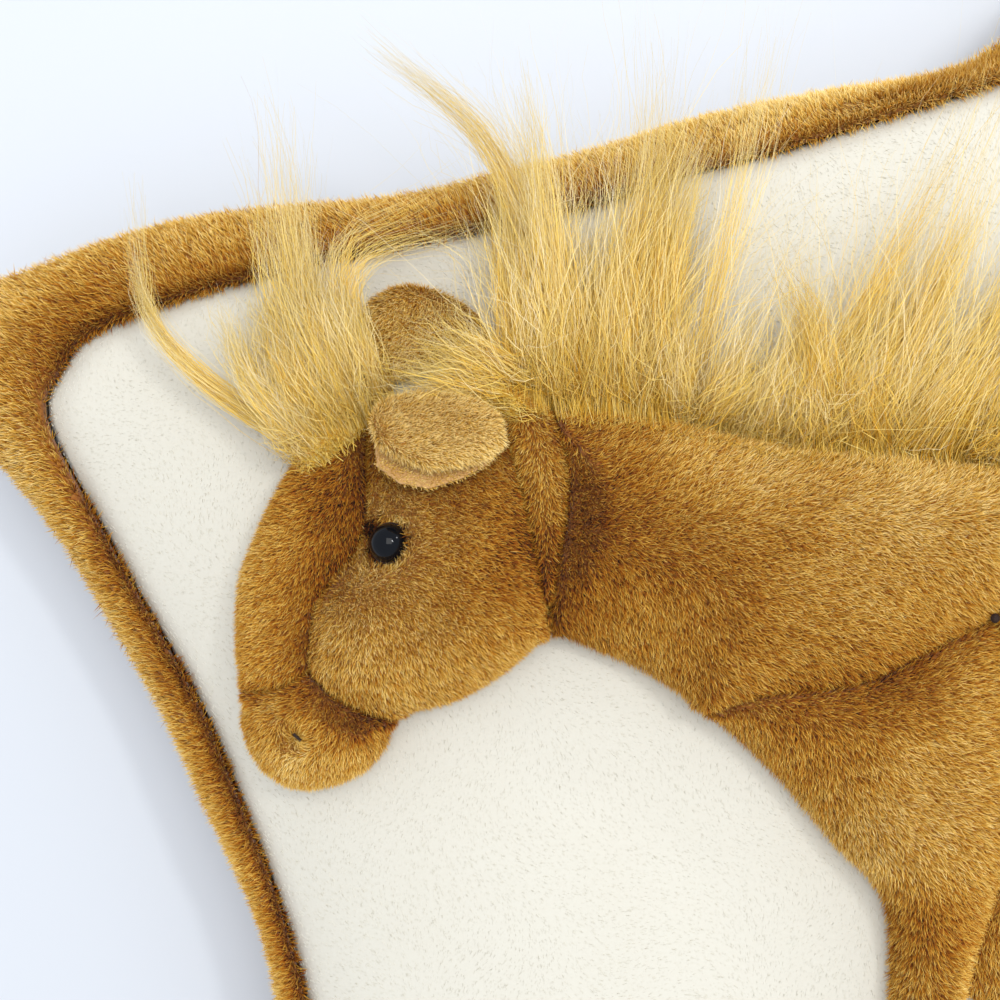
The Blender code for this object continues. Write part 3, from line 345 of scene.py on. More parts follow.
def backingMaterial(name, stops, lumpSize, contrast, relief=0.6):
    # lumps of a size in millimetres, over a colour that the piece's own tint sets from place to place
    made, tree, shader = newMaterial(name, {"Roughness": 0.95, "Sheen Weight": 0.2})
    tint = addNode(tree, "ShaderNodeAttribute", attribute_name="tint").outputs["Fac"]
    place = addNode(tree, "ShaderNodeTexCoord").outputs["Object"]
    lumps = addNode(tree, "ShaderNodeTexNoise", {
        "Vector": place, "Scale": 1.0 / (lumpSize * millimetre), "Detail": 4.0, "Roughness": 0.65})
    # the colour follows the lumps, darker where the bump is low: painted shade in its hollows
    spread = addNode(tree, "ShaderNodeMapRange", {
        "Value": lumps, "From Min": 0.3, "From Max": 0.7, "To Min": -contrast, "To Max": contrast})
    total = addNode(tree, "ShaderNodeMath", {0: tint, 1: spread}, operation="ADD")
    tree.links.new(colourRamp(tree, total, stops), shader.inputs["Base Color"])
    bump = addNode(tree, "ShaderNodeBump", {
        "Height": lumps, "Strength": relief, "Distance": 1.2 * millimetre})
    tree.links.new(bump.outputs["Normal"], shader.inputs["Normal"])
    return made


def speckledMaterial(name, dark, light, grain, roughness):
    # two close colours mingled in grains of a size in millimetres
    made, tree, shader = newMaterial(name, {"Roughness": roughness})
    place = addNode(tree, "ShaderNodeTexCoord").outputs["Object"]
    cloud = addNode(tree, "ShaderNodeTexNoise", {
        "Vector": place, "Scale": 1.0 / (grain * millimetre), "Detail": 2.0})
    tree.links.new(colourRamp(tree, cloud, [(0.3, dark), (0.7, light)]), shader.inputs["Base Color"])
    return made


# cut pile is matt and soft; it is darker at the roots, painted shade between the strands, and paler towards
# the tips, painted light on them
brownPile = pileMaterial(
    "acrylicPlushPile", pileStops, rootShade=0.50, tipShade=1.0, roughness=0.8, sheen=0.03, tipGain=0.42)
# long modacrylic hair has a silky gleam and thin, duller tips; its darker roots are painted shade between the
# strands
longPile = pileMaterial(
    "longModacrylicPile", hairStops, rootShade=0.80, tipShade=0.66, roughness=0.5, sheen=0.02, tipGain=0.0)
# brushed polyester fleece is flat and even, with hardly a shade between its fibres
creamPile = pileMaterial(
    "creamFleecePile", creamStops, rootShade=0.99, tipShade=1.0, roughness=0.95, sheen=0.1, tipGain=0.0)
# knitted grounds are rough and dull, and seen only between the strands
brownBacking = backingMaterial(
    "plushBacking", [(0.0, "#120B07"), (0.12, "#4A2008"), (0.5, "#96591A"), (1.0, "#C8913C")],
    lumpSize=1.2, contrast=0.12)
hoofBacking = backingMaterial(
    "hoofPlushBacking", [(0.0, "#1C100A"), (0.5, "#3E2412"), (1.0, "#6B4423")],
    lumpSize=1.2, contrast=0.12)
creamBacking = backingMaterial("creamFleeceBacking", creamStops, lumpSize=1.6, contrast=0.15, relief=0.1)
hairBacking = backingMaterial(
    "longPileBacking", [(0.0, "#9A6E20"), (0.5, "#C4922E"), (1.0, "#E0B452")],
    lumpSize=1.0, contrast=0.2)
# short velour of the ear's lining, smoother and paler than the plush
liningVelour = backingMaterial(
    "earLiningVelour", [(0.0, "#8E5F2C"), (0.5, "#B98A4C"), (1.0, "#CFA468")],
    lumpSize=0.8, contrast=0.2)
# loose polyester wadding is white; its soft grey hollows are painted shade
fillingFibre = backingMaterial(
    "polyesterFibre", [(0.0, "#DADAD6"), (0.5, "#F2F2EE"), (1.0, "#FFFFFF")],
    lumpSize=6.0, contrast=0.3)
# moulded acrylic, polished: almost black, with sharp small lights
eyeAcrylic = newMaterial("eyeAcrylic", {
    "Base Color": linearColour("#090C11"), "Roughness": 0.025, "IOR": 1.49, "Specular IOR Level": 0.2})[0]
# the unpolished moulded rim behind it is brown-black and dull
eyeRimPlastic = newMaterial("eyeRimPlastic", {"Base Color": linearColour("#2A1710"), "Roughness": 0.3})[0]
# waxed polyester thread, its twist drawn at 0.4 mm so that it shows
darkThread = speckledMaterial("darkThread", "#150B07", "#3A2418", grain=0.4, roughness=0.8)
# moulded nylon is milky white, with a dull shine
washerNylon = speckledMaterial("washerNylon", "#E0DED6", "#EFEDE6", grain=2.5, roughness=0.4)
print("materials made")


# Colour by place: where the pile is seen end-on and in creases it is deep red-brown, painted shade, and where
# it lies flat in the light it is paler, painted light

# how deep darkens the tint there with painted shade; below nought it lightens it with painted light
shadeAndLightPlaces = [  # pixel of the photograph, radius in pixels, how deep, pad or "" for every pad
    (350, 505, 50, 0.30, "forehead_strip"), (322, 580, 42, 0.24, "forehead_strip"),
    (316, 650, 26, 0.12, "forehead_strip"), (250, 590, 24, -0.02, "forehead_strip"),
    (262, 660, 40, 0.04, "forehead_strip"),
    (345, 640, 46, -0.12, "cheek"), (375, 585, 30, -0.10, "cheek"), (400, 660, 60, -0.06, "cheek"),
    (395, 495, 40, -0.08, "cheek"), (520, 545, 46, 0.24, "cheek"), (500, 600, 50, 0.10, "cheek"),
    (470, 500, 40, 0.08, "cheek"),
    (380, 710, 36, 0.22, "muzzle"), (300, 690, 24, 0.12, "muzzle"), (285, 765, 30, -0.16, "muzzle"),
    (350, 765, 30, -0.08, "muzzle"), (265, 715, 20, -0.08, "muzzle"),
    (545, 440, 34, -0.06, "nape_strip"), (545, 560, 40, 0.22, "nape_strip"),
    (590, 500, 60, 0.13, "neck"), (570, 600, 50, 0.15, "neck"), (440, 600, 120, -0.06, "cheek"),
    (660, 560, 70, 0.08, "neck"),
    (790, 694, 50, 0.14, ""), (880, 680, 50, 0.14, ""), (925, 905, 40, 0.14, ""),
    (680, 450, 50, -0.08, "neck"),
    (770, 470, 60, -0.16, "neck"), (870, 485, 60, -0.18, "neck"), (960, 495, 60, -0.18, "neck"),
    (900, 800, 110, -0.14, ""), (900, 540, 100, -0.05, "neck"), (770, 560, 80, -0.03, "neck"),
    (640, 660, 50, -0.03, "neck"),
]
eyeSpot = fromPhoto(388, 543, 0.109)
socketSpot = fromPhoto(384, 541, 0.107)
socket = {  # metres, and its turn in degrees
    "bare": 0.0043, "middle": 0.0062, "corner": 0.0013, "turn": 8.0, "combNear": 0.0060, "combFar": 0.0078,
}
fringe = {"tint": 0.02, "length": 1.05, "density": 1.8}  # the dark pile round the eye


def placeTint(points, pad):
    total = np.full(len(points), 0.55)
    # each place darkens the tint with painted shade, or lightens it with painted light where its depth is
    # below nought
    for px, py, radius, depth, owner in shadeAndLightPlaces:
        if owner not in ("", pad):
            continue
        spot = fromPhoto(px, py, headHeight)
        width = radius * (camera["height"] - headHeight) / pixelFocal
        away = np.hypot(points[:, 0] - spot[0], points[:, 1] - spot[1])
        total -= depth * np.exp(-(away / width) ** 2)
    total += 0.045 * softNoise(points, 0.05, 3) + 0.035 * softNoise(points, 0.016, 4)
    total += 0.04 * softNoise(points, 0.007, 5)
    return np.clip(total, 0.16, 0.95)


def eyeShare(points):
    # distance from the socket's middle in shares of its outline, which has three soft corners
    dx, dy = points[:, 0] - socketSpot[0], points[:, 1] - socketSpot[1]
    across, up = dx * rightWay[0] + dy * rightWay[1], dx * upWay[0] + dy * upWay[1]
    angle = np.arctan2(up, across) - math.radians(socket["turn"])
    return np.hypot(dx, dy) / (socket["middle"] + socket["corner"] * np.cos(3 * angle))


# Short pile: a Geometry Nodes tree that grows blades on any skin

pile = {  # strands to a square metre, metres, radians, and shares
    "Density": 3.6e6, "Length": 0.0040, "Width": 0.00034, "Lean": 0.70, "Frizz": 0.55, "Tint spread": 0.50,
}
bladeBend = 0.22  # of its length


def makeBlade():
    # a strand of unit height and width, bent over at its tip
    made = addMesh("blade", [(-0.5, 0, 0), (0.5, 0, 0), (0, bladeBend, 1)], [(0, 1, 2)])
    setAttribute(made, "along", np.array([0.0, 0.0, 1.0]))
    setAttribute(made, "side", np.array([-1, 1, 0]))
    return made


def addInputs(tree, sockets):
    for name, kind in sockets.items():
        tree.interface.new_socket(name, in_out="INPUT", socket_type="NodeSocket" + kind)
    tree.interface.new_socket("Geometry", in_out="OUTPUT", socket_type="NodeSocketGeometry")


def makePileTree():
    tree = bpy.data.node_groups.new("shortPile", "GeometryNodeTree")
    addInputs(tree, {
        "Geometry": "Geometry", "Blade": "Object", "Density": "Float", "Length": "Float", "Width": "Float",
        "Lean": "Float", "Frizz": "Float", "Tint spread": "Float", "Seed": "Int", "Material": "Material"})
    given = addNode(tree, "NodeGroupInput").outputs
    stored, drawn = {}, {}
    for name in ("comb", "pile", "pileLength", "tint", "strandTint", "side", "along"):
        kind = "FLOAT_VECTOR" if name == "comb" else "FLOAT"
        stored[name] = addNode(tree, "GeometryNodeInputNamedAttribute", {"Name": name}, data_type=kind)
    draws = (  # what is drawn for each strand: what is added to the seed, lowest and highest value
        ("twist", 6, -0.9, 0.9), ("height", 7, 0.62, 1.12), ("tint", 8, 0.0, 1.0), ("isOdd", 9, 0.0, 1.0),
        ("odd", 10, 0.13, 0.98))
    for name, salt, low, high in draws:
        seed = addNode(tree, "ShaderNodeMath", {0: given["Seed"], 1: salt}, operation="ADD")
        chance = addNode(tree, "FunctionNodeRandomValue", {2: low, 3: high, "Seed": seed}, data_type="FLOAT")
        drawn[name] = chance.outputs[1]
    seed = addNode(tree, "ShaderNodeMath", {0: given["Seed"], 1: 5}, operation="ADD")
    anyWay = addNode(tree, "FunctionNodeRandomValue", {
        0: (-1, -1, -1), 1: (1, 1, 1), "Seed": seed}, data_type="FLOAT_VECTOR")

    dense = addNode(tree, "ShaderNodeMath", {0: given["Density"], 1: stored["pile"]}, operation="MULTIPLY")
    sown = addNode(tree, "GeometryNodeDistributePointsOnFaces", {
        "Mesh": given["Geometry"], "Density": dense, "Seed": given["Seed"]})
    rise = addNode(tree, "ShaderNodeMath", {0: given["Lean"]}, operation="COSINE")
    fall = addNode(tree, "ShaderNodeMath", {0: given["Lean"]}, operation="SINE")
    upright = addNode(tree, "ShaderNodeVectorMath", {
        0: sown.outputs["Normal"], "Scale": rise}, operation="SCALE")
    lying = addNode(tree, "ShaderNodeVectorMath", {0: stored["comb"], "Scale": fall}, operation="SCALE")
    stray = addNode(tree, "ShaderNodeVectorMath", {0: anyWay, "Scale": given["Frizz"]}, operation="SCALE")
    leaning = addNode(tree, "ShaderNodeVectorMath", {0: upright, 1: lying}, operation="ADD")
    strayed = addNode(tree, "ShaderNodeVectorMath", {0: leaning, 1: stray}, operation="ADD")
    way = addNode(tree, "ShaderNodeVectorMath", {0: strayed}, operation="NORMALIZE")

    stand = addNode(tree, "FunctionNodeAlignRotationToVector", {"Vector": way}, axis="Z")
    faced = addNode(tree, "FunctionNodeAlignRotationToVector", {
        "Rotation": stand, "Vector": stored["comb"]}, axis="Y", pivot_axis="Z")
    twist = addNode(tree, "FunctionNodeAxisAngleToRotation", {"Axis": (0, 0, 1), "Angle": drawn["twist"]})
    turned = addNode(tree, "FunctionNodeRotateRotation", {
        "Rotation": faced, "Rotate By": twist}, rotation_space="LOCAL")
    full = addNode(tree, "ShaderNodeMath", {
        0: given["Length"], 1: stored["pileLength"]}, operation="MULTIPLY")
    tall = addNode(tree, "ShaderNodeMath", {0: full, 1: drawn["height"]}, operation="MULTIPLY")
    size = addNode(tree, "ShaderNodeCombineXYZ", {"X": given["Width"], "Y": tall, "Z": tall})

    evenly = addNode(tree, "ShaderNodeMath", {0: drawn["tint"], 1: 0.5}, operation="SUBTRACT")
    spread = addNode(tree, "ShaderNodeMath", {0: given["Tint spread"], 1: evenly}, operation="MULTIPLY")
    plain = addNode(tree, "ShaderNodeMath", {0: stored["tint"], 1: spread}, operation="ADD")
    # a strand in four hundred takes any colour, which spreads the pile over its whole colour map
    isOdd = addNode(tree, "ShaderNodeMath", {0: drawn["isOdd"], 1: 0.0025}, operation="LESS_THAN")
    apart = addNode(tree, "ShaderNodeMath", {0: drawn["odd"], 1: plain}, operation="SUBTRACT")
    odd = addNode(tree, "ShaderNodeMath", {0: isOdd, 1: apart}, operation="MULTIPLY")
    tint = addNode(tree, "ShaderNodeMath", {0: plain, 1: odd}, operation="ADD")
    kept = addNode(tree, "GeometryNodeStoreNamedAttribute", {
        "Geometry": sown, "Name": "strandTint", "Value": tint}, data_type="FLOAT", domain="POINT")

    strand = addNode(tree, "GeometryNodeObjectInfo", {"Object": given["Blade"]})
    planted = addNode(tree, "GeometryNodeInstanceOnPoints", {
        "Points": kept, "Instance": strand.outputs["Geometry"], "Rotation": turned, "Scale": size})
    real = addNode(tree, "GeometryNodeRealizeInstances", {"Geometry": planted})
    inside = addNode(tree, "ShaderNodeClamp", {"Value": stored["strandTint"], "Min": 0.02, "Max": 0.98})
    beside = addNode(tree, "ShaderNodeMath", {0: stored["side"], 1: 0.006}, operation="MULTIPLY")
    across = addNode(tree, "ShaderNodeMath", {0: inside, 1: beside}, operation="ADD")
    grown = addNode(tree, "ShaderNodeMath", {0: stored["along"], 1: 0.96}, operation="MULTIPLY")
    up = addNode(tree, "ShaderNodeMath", {0: grown, 1: 0.02}, operation="ADD")
    layout = addNode(tree, "ShaderNodeCombineXYZ", {"X": across, "Y": up})
    mapped = addNode(tree, "GeometryNodeStoreNamedAttribute", {
        "Geometry": real, "Name": "OFBake", "Value": layout}, data_type="FLOAT2", domain="CORNER")
    dressed = addNode(tree, "GeometryNodeSetMaterial", {"Geometry": mapped, "Material": given["Material"]})
    addNode(tree, "NodeGroupOutput", {"Geometry": dressed})
    return tree


blade = makeBlade()
pileTree = makePileTree()


def setInput(modifier, name, value):
    for socket in modifier.node_group.interface.items_tree:
        if socket.item_type == "SOCKET" and socket.in_out == "INPUT" and socket.name == name:
            modifier[socket.identifier] = value


def finishGrowth(host, tree, inputs, body):
    # runs the tree on its host, drops the helping attributes and leaves a plain mesh
    work = host.modifiers.new("growth", "NODES")
    work.node_group = tree
    for key, value in inputs.items():
        setInput(work, key, value)
    settled(host)
    for extra in ("tint", "pile", "comb", "pileLength", "strandTint", "along", "side", "thick", "roll"):
        layer = host.data.attributes.get(extra)
        if layer:
            host.data.attributes.remove(layer)
    dress(host, body)
    print(host.name, len(host.data.polygons), "faces")


def growPile(name, skin, body, material, values):
    host = bpy.data.objects.new(name, skin.data.copy())
    bpy.context.scene.collection.objects.link(host)
    inputs = {**pile, **values, "Blade": blade, "Material": material}
    finishGrowth(host, pileTree, inputs, body)


def combField(points, normals, base=(-0.45, -0.9), outward=0.55, swirl=0.5, fromMiddle=0.0, rise=0.0,
              hold=1.0):
    # which way the pile lies: a base direction, more outwards on the sides, with a slow swirl
    way = np.zeros_like(points)
    angle = math.atan2(base[1], base[0]) + swirl * softNoise(points, 0.06, 7)
    way[:, 0], way[:, 1] = hold * np.cos(angle), hold * np.sin(angle)
    way[:, :2] += outward * normals[:, :2]
    distance = np.maximum(np.linalg.norm(points[:, :2], axis=1, keepdims=True), 1e-6)
    way[:, :2] += fromMiddle * points[:, :2] / distance
    way[:, 2] += rise
    way -= normals * np.sum(way * normals, axis=1, keepdims=True)
    return way / np.maximum(np.linalg.norm(way, axis=1, keepdims=True), 1e-6)


# Cushion cover

# how the real cushion lies off its even form: pixel, move in pixels, radius in pixels, part of it
settling = [
    (5, 345, -32, 14, 130, "all"), (15, 250, 2, 36, 120, "rim"), (5, 440, 4, 12, 90, "rim"),
    (-5, 285, 0, 22, 50, "rim"), (66, 345, 8, 9, 34, "all"), (420, 190, 0, 9, 80, "rim"),
    (720, 115, 0, -5, 90, "rim"), (930, 20, 0, 28, 150, "rim"), (1050, 5, 0, 56, 120, "rim"),
    (980, 80, 0, 15, 150, "all"), (300, 200, 2, 13, 170, "rim"), (262, 980, 14, 0, 130, "rim"),
    (200, 700, 9, -3, 110, "all"), (690, 180, 0, -8, 70, "all"), (1120, 40, 0, 16, 140, "all"),
]


def settle(rings, rimShare):
    # rimShare: 0 on the panel, rising to 1 at the outer seam
    moved = rings.copy()
    for px, py, moveX, moveY, radius, part in settling:
        spot = fromPhoto(px, py, rimHeight)
        scale = (camera["height"] - rimHeight) / pixelFocal
        weight = np.exp(-np.sum((rings[:, :, :2] - spot[:2]) ** 2, axis=2) / (radius * scale) ** 2)
        if part == "rim":
            weight = weight * rimShare[:, None]
        moved[:, :, :2] += weight[:, :, None] * (rightWay * moveX - upWay * moveY) * scale
    return moved


def ringsAt(distances, height):
    rings = []
    for distance in distances:
        place = columnWays() * distance
        rings.append(np.column_stack([place, height(place[:, 0], place[:, 1])]))
    return np.array(rings)


def lumps(rings, size, seed):
    return (softNoise(rings.reshape(-1, 3), size, seed) * cushion["lump"]).reshape(rings.shape[:2])


def panelRings(inner):
    shares = np.concatenate([np.linspace(0.0, 0.9, 30), np.linspace(0.92, 1.0, 12)])
    panel = ringsAt([inner * s for s in shares], frontHeight)
    tucked = (smoothStep(shares, 0.955, 1.0) ** 1.5)[:, None]
    panel[:, :, 2] -= cushion["panelTuck"] * tucked + cushion["panelSink"]
    panel[:, :, 2] += 0.35 * lumps(panel, 0.09, 21) * (1 - smoothStep(shares, 0.8, 0.95))[:, None]
    return settle(panel, np.zeros(len(shares)))


def borderRings(inner, outer):
    shares = np.linspace(0.0, 1.0, 26)
    border = ringsAt([inner + (outer - inner) * s for s in shares], frontHeight)
    puff = cushion["borderPuff"] * np.sqrt(np.clip(4.0 * shares * (1.0 - shares), 0, 1)) ** 1.1
    border[:, :, 2] += puff[:, None] - cushion["borderTuck"] * (1 - smoothStep(shares, 0.0, 0.12))[:, None]
    border[:, :, 2] += lumps(border, 0.035, 22) * puff[:, None] / cushion["borderPuff"]
    return settle(border, shares)


def backRings(outer):
    # the lumps fade out where the back rests on the table
    shares = np.concatenate([np.linspace(1.0, 0.9, 10), np.linspace(0.87, 0.0, 30)])
    back = ringsAt([outer * s for s in shares], backHeight)
    raised = smoothStep(backHeight(back[:, :, 0].ravel(), back[:, :, 1].ravel()), 0.004, 0.015)
    back[:, :, 2] += np.abs(0.6 * lumps(back, 0.07, 23)) * raised.reshape(back.shape[:2])
    return settle(back, smoothStep(shares, 0.6, 1.0))


def offsetInside(rings):
    along = np.roll(rings, -1, axis=1) - np.roll(rings, 1, axis=1)
    across = np.gradient(rings, axis=0)
    normals = np.cross(across, along)
    normals = normals / np.maximum(np.linalg.norm(normals, axis=2, keepdims=True), 1e-12)
    return rings - normals * cushion["fabric"]


def makeCover():
    ways = columnWays()
    inner, outer = panelReach(ways)[:, None], cushionReach(ways)[:, None]
    panel, border, back = panelRings(inner), borderRings(inner, outer), backRings(outer)
    insides = []
    for rings, ends in ((panel, [(-1, -2)]), (border, [(0, 1), (-1, -2)]), (back, [(0, 1)])):
        for end, beside in ends:
            step = rings[beside] - rings[end]
            length = np.maximum(np.linalg.norm(step, axis=1, keepdims=True), 1e-9)
            rings[end] += step * cushion["seamGap"] / length
        insides.append(offsetInside(rings))
    fabric = np.array([0, 0, cushion["fabric"]])
    insides[0][0] = panel[0] - fabric
    insides[2][-1] = back[-1] + fabric
    return (sheetOfRings("frontPanel", panel, insides[0], creamBacking, poleFirst=True),
            sheetOfRings("borderStrip", border, insides[1], brownBacking),
            sheetOfRings("backPanel", back, insides[2], brownBacking, poleLast=True))


def sidewaysShare(points):
    # 0 at the panel's seam, 1 at the outer seam
    distance = np.maximum(np.hypot(points[:, 0], points[:, 1]), 1e-6)
    ways = points[:, :2] / distance[:, None]
    inner, outer = panelReach(ways), cushionReach(ways)
    return (distance - inner) / (outer - inner)


coverPile = {
    "frontPanelPile": {"Density": 1.22e6, "Length": 0.0012, "Width": 0.00044, "Lean": 1.50, "Frizz": 0.07,
                       "Tint spread": 0.4, "Seed": 21},
    "borderPile": {"Density": 2.7e6, "Length": 0.0034, "Width": 0.00045, "Seed": 22},
    "backPile": {"Density": 0.60e6, "Length": 0.0052, "Width": 0.0006, "Seed": 23},
}
panelUnder, restHeight = 0.0048, 0.0035  # where pile starts: under the panel's form, and off the table
frontPanel, borderStrip, backPanel = makeCover()

points, normals = meshArrays(frontPanel)
prepareSkin(
    frontPanel, 0.62 + 0.08 * softNoise(points, 0.03, 31),
    (normals[:, 2] > 0.1) & (heightOver(points) > -panelUnder), 1.0 + 0.15 * softNoise(points, 0.01, 32),
    combField(points, normals, (0.3, -0.95), outward=0.2, swirl=1.2))

# the border is darker at the panel's seam, painted shade in the groove there, paler towards the outer seam,
# and paler to the right in the camera's view
points, normals = meshArrays(borderStrip)
share = sidewaysShare(points)
borderTint = 0.64 - 0.18 * (1 - smoothStep(share, 0.02, 0.5)) + 0.12 * smoothStep(share, 0.45, 0.95)
borderTint += 0.22 * smoothStep(points[:, 0], -0.06, 0.08) * smoothStep(points[:, 1], 0.05, 0.15)
borderTint += 0.06 * softNoise(points, 0.04, 33) + 0.04 * softNoise(points, 0.012, 34)
crownMiddle = np.array([0.0, 0.0, 0.03])
isOutside = np.sum((points - crownMiddle) * normals, axis=1) > 0.0
isSown = (normals[:, 2] > 0.05) | (isOutside & (normals[:, 2] > -0.4))
facesMiddle = np.sum(points[:, :2] * normals[:, :2], axis=1) < 0
isSown |= facesMiddle & (share < 0.2) & (normals[:, 2] > -0.25)
awayFromSeam = 0.5 + 0.6 * smoothStep(share, 0.08, 0.45)[:, None]
upFromSeam = 1.6 * (1 - smoothStep(share, 0.06, 0.22))
prepareSkin(
    borderStrip, np.clip(borderTint, 0.16, 0.9),
    (isSown & (normals[:, 2] > -0.4)) * (1 + 1.5 * (share < 0.12)), 1.15 + 0.2 * softNoise(points, 0.012, 35),
    combField(points, normals, (-0.25, 0.15), outward=0.20, swirl=1.0, fromMiddle=awayFromSeam,
              rise=upFromSeam, hold=0.38))

# no pile grows where the cushion rests, so that it lies flat on the table
points, normals = meshArrays(backPanel)
backTint = 0.52 + 0.07 * softNoise(points, 0.05, 36) + 0.04 * softNoise(points, 0.015, 37)
prepareSkin(
    backPanel, np.clip(backTint, 0.16, 0.9), (normals[:, 2] < 0.1) & (points[:, 2] > restHeight),
    smoothStep(points[:, 2], 0.002, 0.012) * 0.9 + 0.1,
    combField(points, normals, (0.2, -0.98), outward=0.2, swirl=0.6))

dress(frontPanel, "cushion", "front_panel")
dress(borderStrip, "cushion", "front_border")
dress(backPanel, "cushion", "back_panel")
growPile("frontPanelPile", frontPanel, "cushion", creamPile, coverPile["frontPanelPile"])
growPile("borderPile", borderStrip, "cushion", brownPile, coverPile["borderPile"])
growPile("backPile", backPanel, "cushion", brownPile, coverPile["backPile"])
print("cover made")


# Stuffed pads

pads = {  # metres and strands to a square metre; nap is the way its pile lies, right and up in the photograph
    "forehead_strip": {"voxel": 0.0013, "density": 6.6e6, "length": 0.0031, "nap": (-0.65, -0.55)},
    "cheek": {"voxel": 0.0014, "density": 6.8e6, "length": 0.0032, "nap": (0.70, -0.65)},
    "muzzle": {"voxel": 0.0013, "density": 6.8e6, "length": 0.0031, "nap": (-0.30, -0.80)},
    "nape_strip": {"voxel": 0.0013, "density": 6.8e6, "length": 0.0032, "nap": (0.35, -0.90)},
    "neck": {"voxel": 0.0017, "density": 6.2e6, "length": 0.0034, "nap": (0.95, -0.30)},
    "near_foreleg": {"voxel": 0.0017, "density": 5.6e6, "length": 0.0034, "nap": (0.90, -0.45)},
    "barrel": {"voxel": 0.0019, "density": 4.2e6, "length": 0.0036},
    "hindquarters": {"voxel": 0.0019, "density": 4.2e6, "length": 0.0036},
    "far_foreleg": {"voxel": 0.0016, "density": 4.4e6, "length": 0.0034},
    "near_hind_leg": {"voxel": 0.0016, "density": 4.4e6, "length": 0.0034},
    "far_hind_leg": {"voxel": 0.0016, "density": 4.4e6, "length": 0.0034},
}
# how far the skins and their pile keep from the seams between pads
inset = {"seamReach": 0.006, "sideways": 0.0019, "down": 0.0004, "bareEdge": 0.0006}
nostril = {"dentWidth": 0.0038, "dentDepth": 0.0026, "darkWidth": 0.0020, "lipAt": 0.006, "lipWidth": 0.004}
nostrilSpot = fromPhoto(297, 736, 0.098)
strandWidth, cutShare = 0.00036, 0.92  # of the pads' pile: metres, and the share of its length that is left
padTrees = {name: treeOver([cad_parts[name]]) for name in pads}


def skinOf(nodeName, newName, voxel, material, rounds=4, sink=0.0014, edge=0.0):
    # the solid's form as an even, smooth skin, a little smaller so that pile can grow on it
    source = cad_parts[nodeName]
    shell = bmesh.new()
    shell.from_mesh(source.data)
    bmesh.ops.remove_doubles(shell, verts=shell.verts, dist=1e-5)
    mesh = bpy.data.meshes.new(newName)
    shell.to_mesh(mesh)
    shell.free()
    mesh.shade_smooth()
    made = bpy.data.objects.new(newName, mesh)
    bpy.context.scene.collection.objects.link(made)
    remesh = made.modifiers.new("even", "REMESH")
    remesh.mode = "VOXEL"
    remesh.voxel_size = voxel
    relax = made.modifiers.new("relax", "SMOOTH")
    relax.factor = 0.5
    relax.iterations = rounds
    settled(made)
    made.data.materials.clear()
    made.data.materials.append(material)
    made.data.shade_smooth()
    points, normals = meshArrays(made)
    above = heightOver(points)
    lowered = smoothStep(above, 0.002, 0.009)
    points[:, :2] -= normals[:, :2] * edge * (1 + lowered)[:, None]
    points[:, 2] -= np.clip(normals[:, 2], 0, None) * sink * lowered
    lowest = frontHeight(points[:, 0], points[:, 1]) + 0.0002
    points[:, 2] = np.maximum(points[:, 2], np.minimum(above + points[:, 2], lowest))
    setPoints(made, points)
    return made


def neighbourGap(points, ownName):
    # how near each point is to another pad: the pile is tucked in there, and its colour darker with painted
    # shade
    best, reach = np.full(len(points), 1.0), inset["seamReach"]
    for name in pads:
        if name == ownName:
            continue
        low, high = np.array(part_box(name))[:, :2]
        isNear = np.all((points[:, :2] > low - reach) & (points[:, :2] < high + reach), axis=1)
        for i in np.nonzero(isNear)[0]:
            found = padTrees[name].find_nearest(points[i], reach)
            if found[0] is not None:
                best[i] = min(best[i], found[3])
    return best


def wayTo(spot, points):
    # level ways from points to a spot, and how far it is
    way = np.array([spot[0], spot[1], 0.0]) - points * np.array([1, 1, 0])
    distance = np.linalg.norm(way, axis=1, keepdims=True)
    return way / np.maximum(distance, 1e-6), distance


def padSkin(name, newName):
    skin = skinOf(name, newName + "Skin", pads[name]["voxel"], brownBacking)
    points, normals = meshArrays(skin)
    gap = neighbourGap(points, name)
    free = smoothStep(gap, 0.0015, 0.0055)
    points[:, :2] -= normals[:, :2] * (inset["sideways"] * free)[:, None]
    points[:, 2] -= inset["down"] * free
    if name == "muzzle":
        dent = np.exp(-np.sum((points[:, :2] - nostrilSpot[:2]) ** 2, axis=1) / nostril["dentWidth"] ** 2)
        points[:, 2] -= nostril["dentDepth"] * dent * (normals[:, 2] > 0.2)
    setPoints(skin, points)
    return skin, gap


def isUpper(points, normals):
    return (normals[:, 2] > -0.35) & (heightOver(points) > inset["bareEdge"])


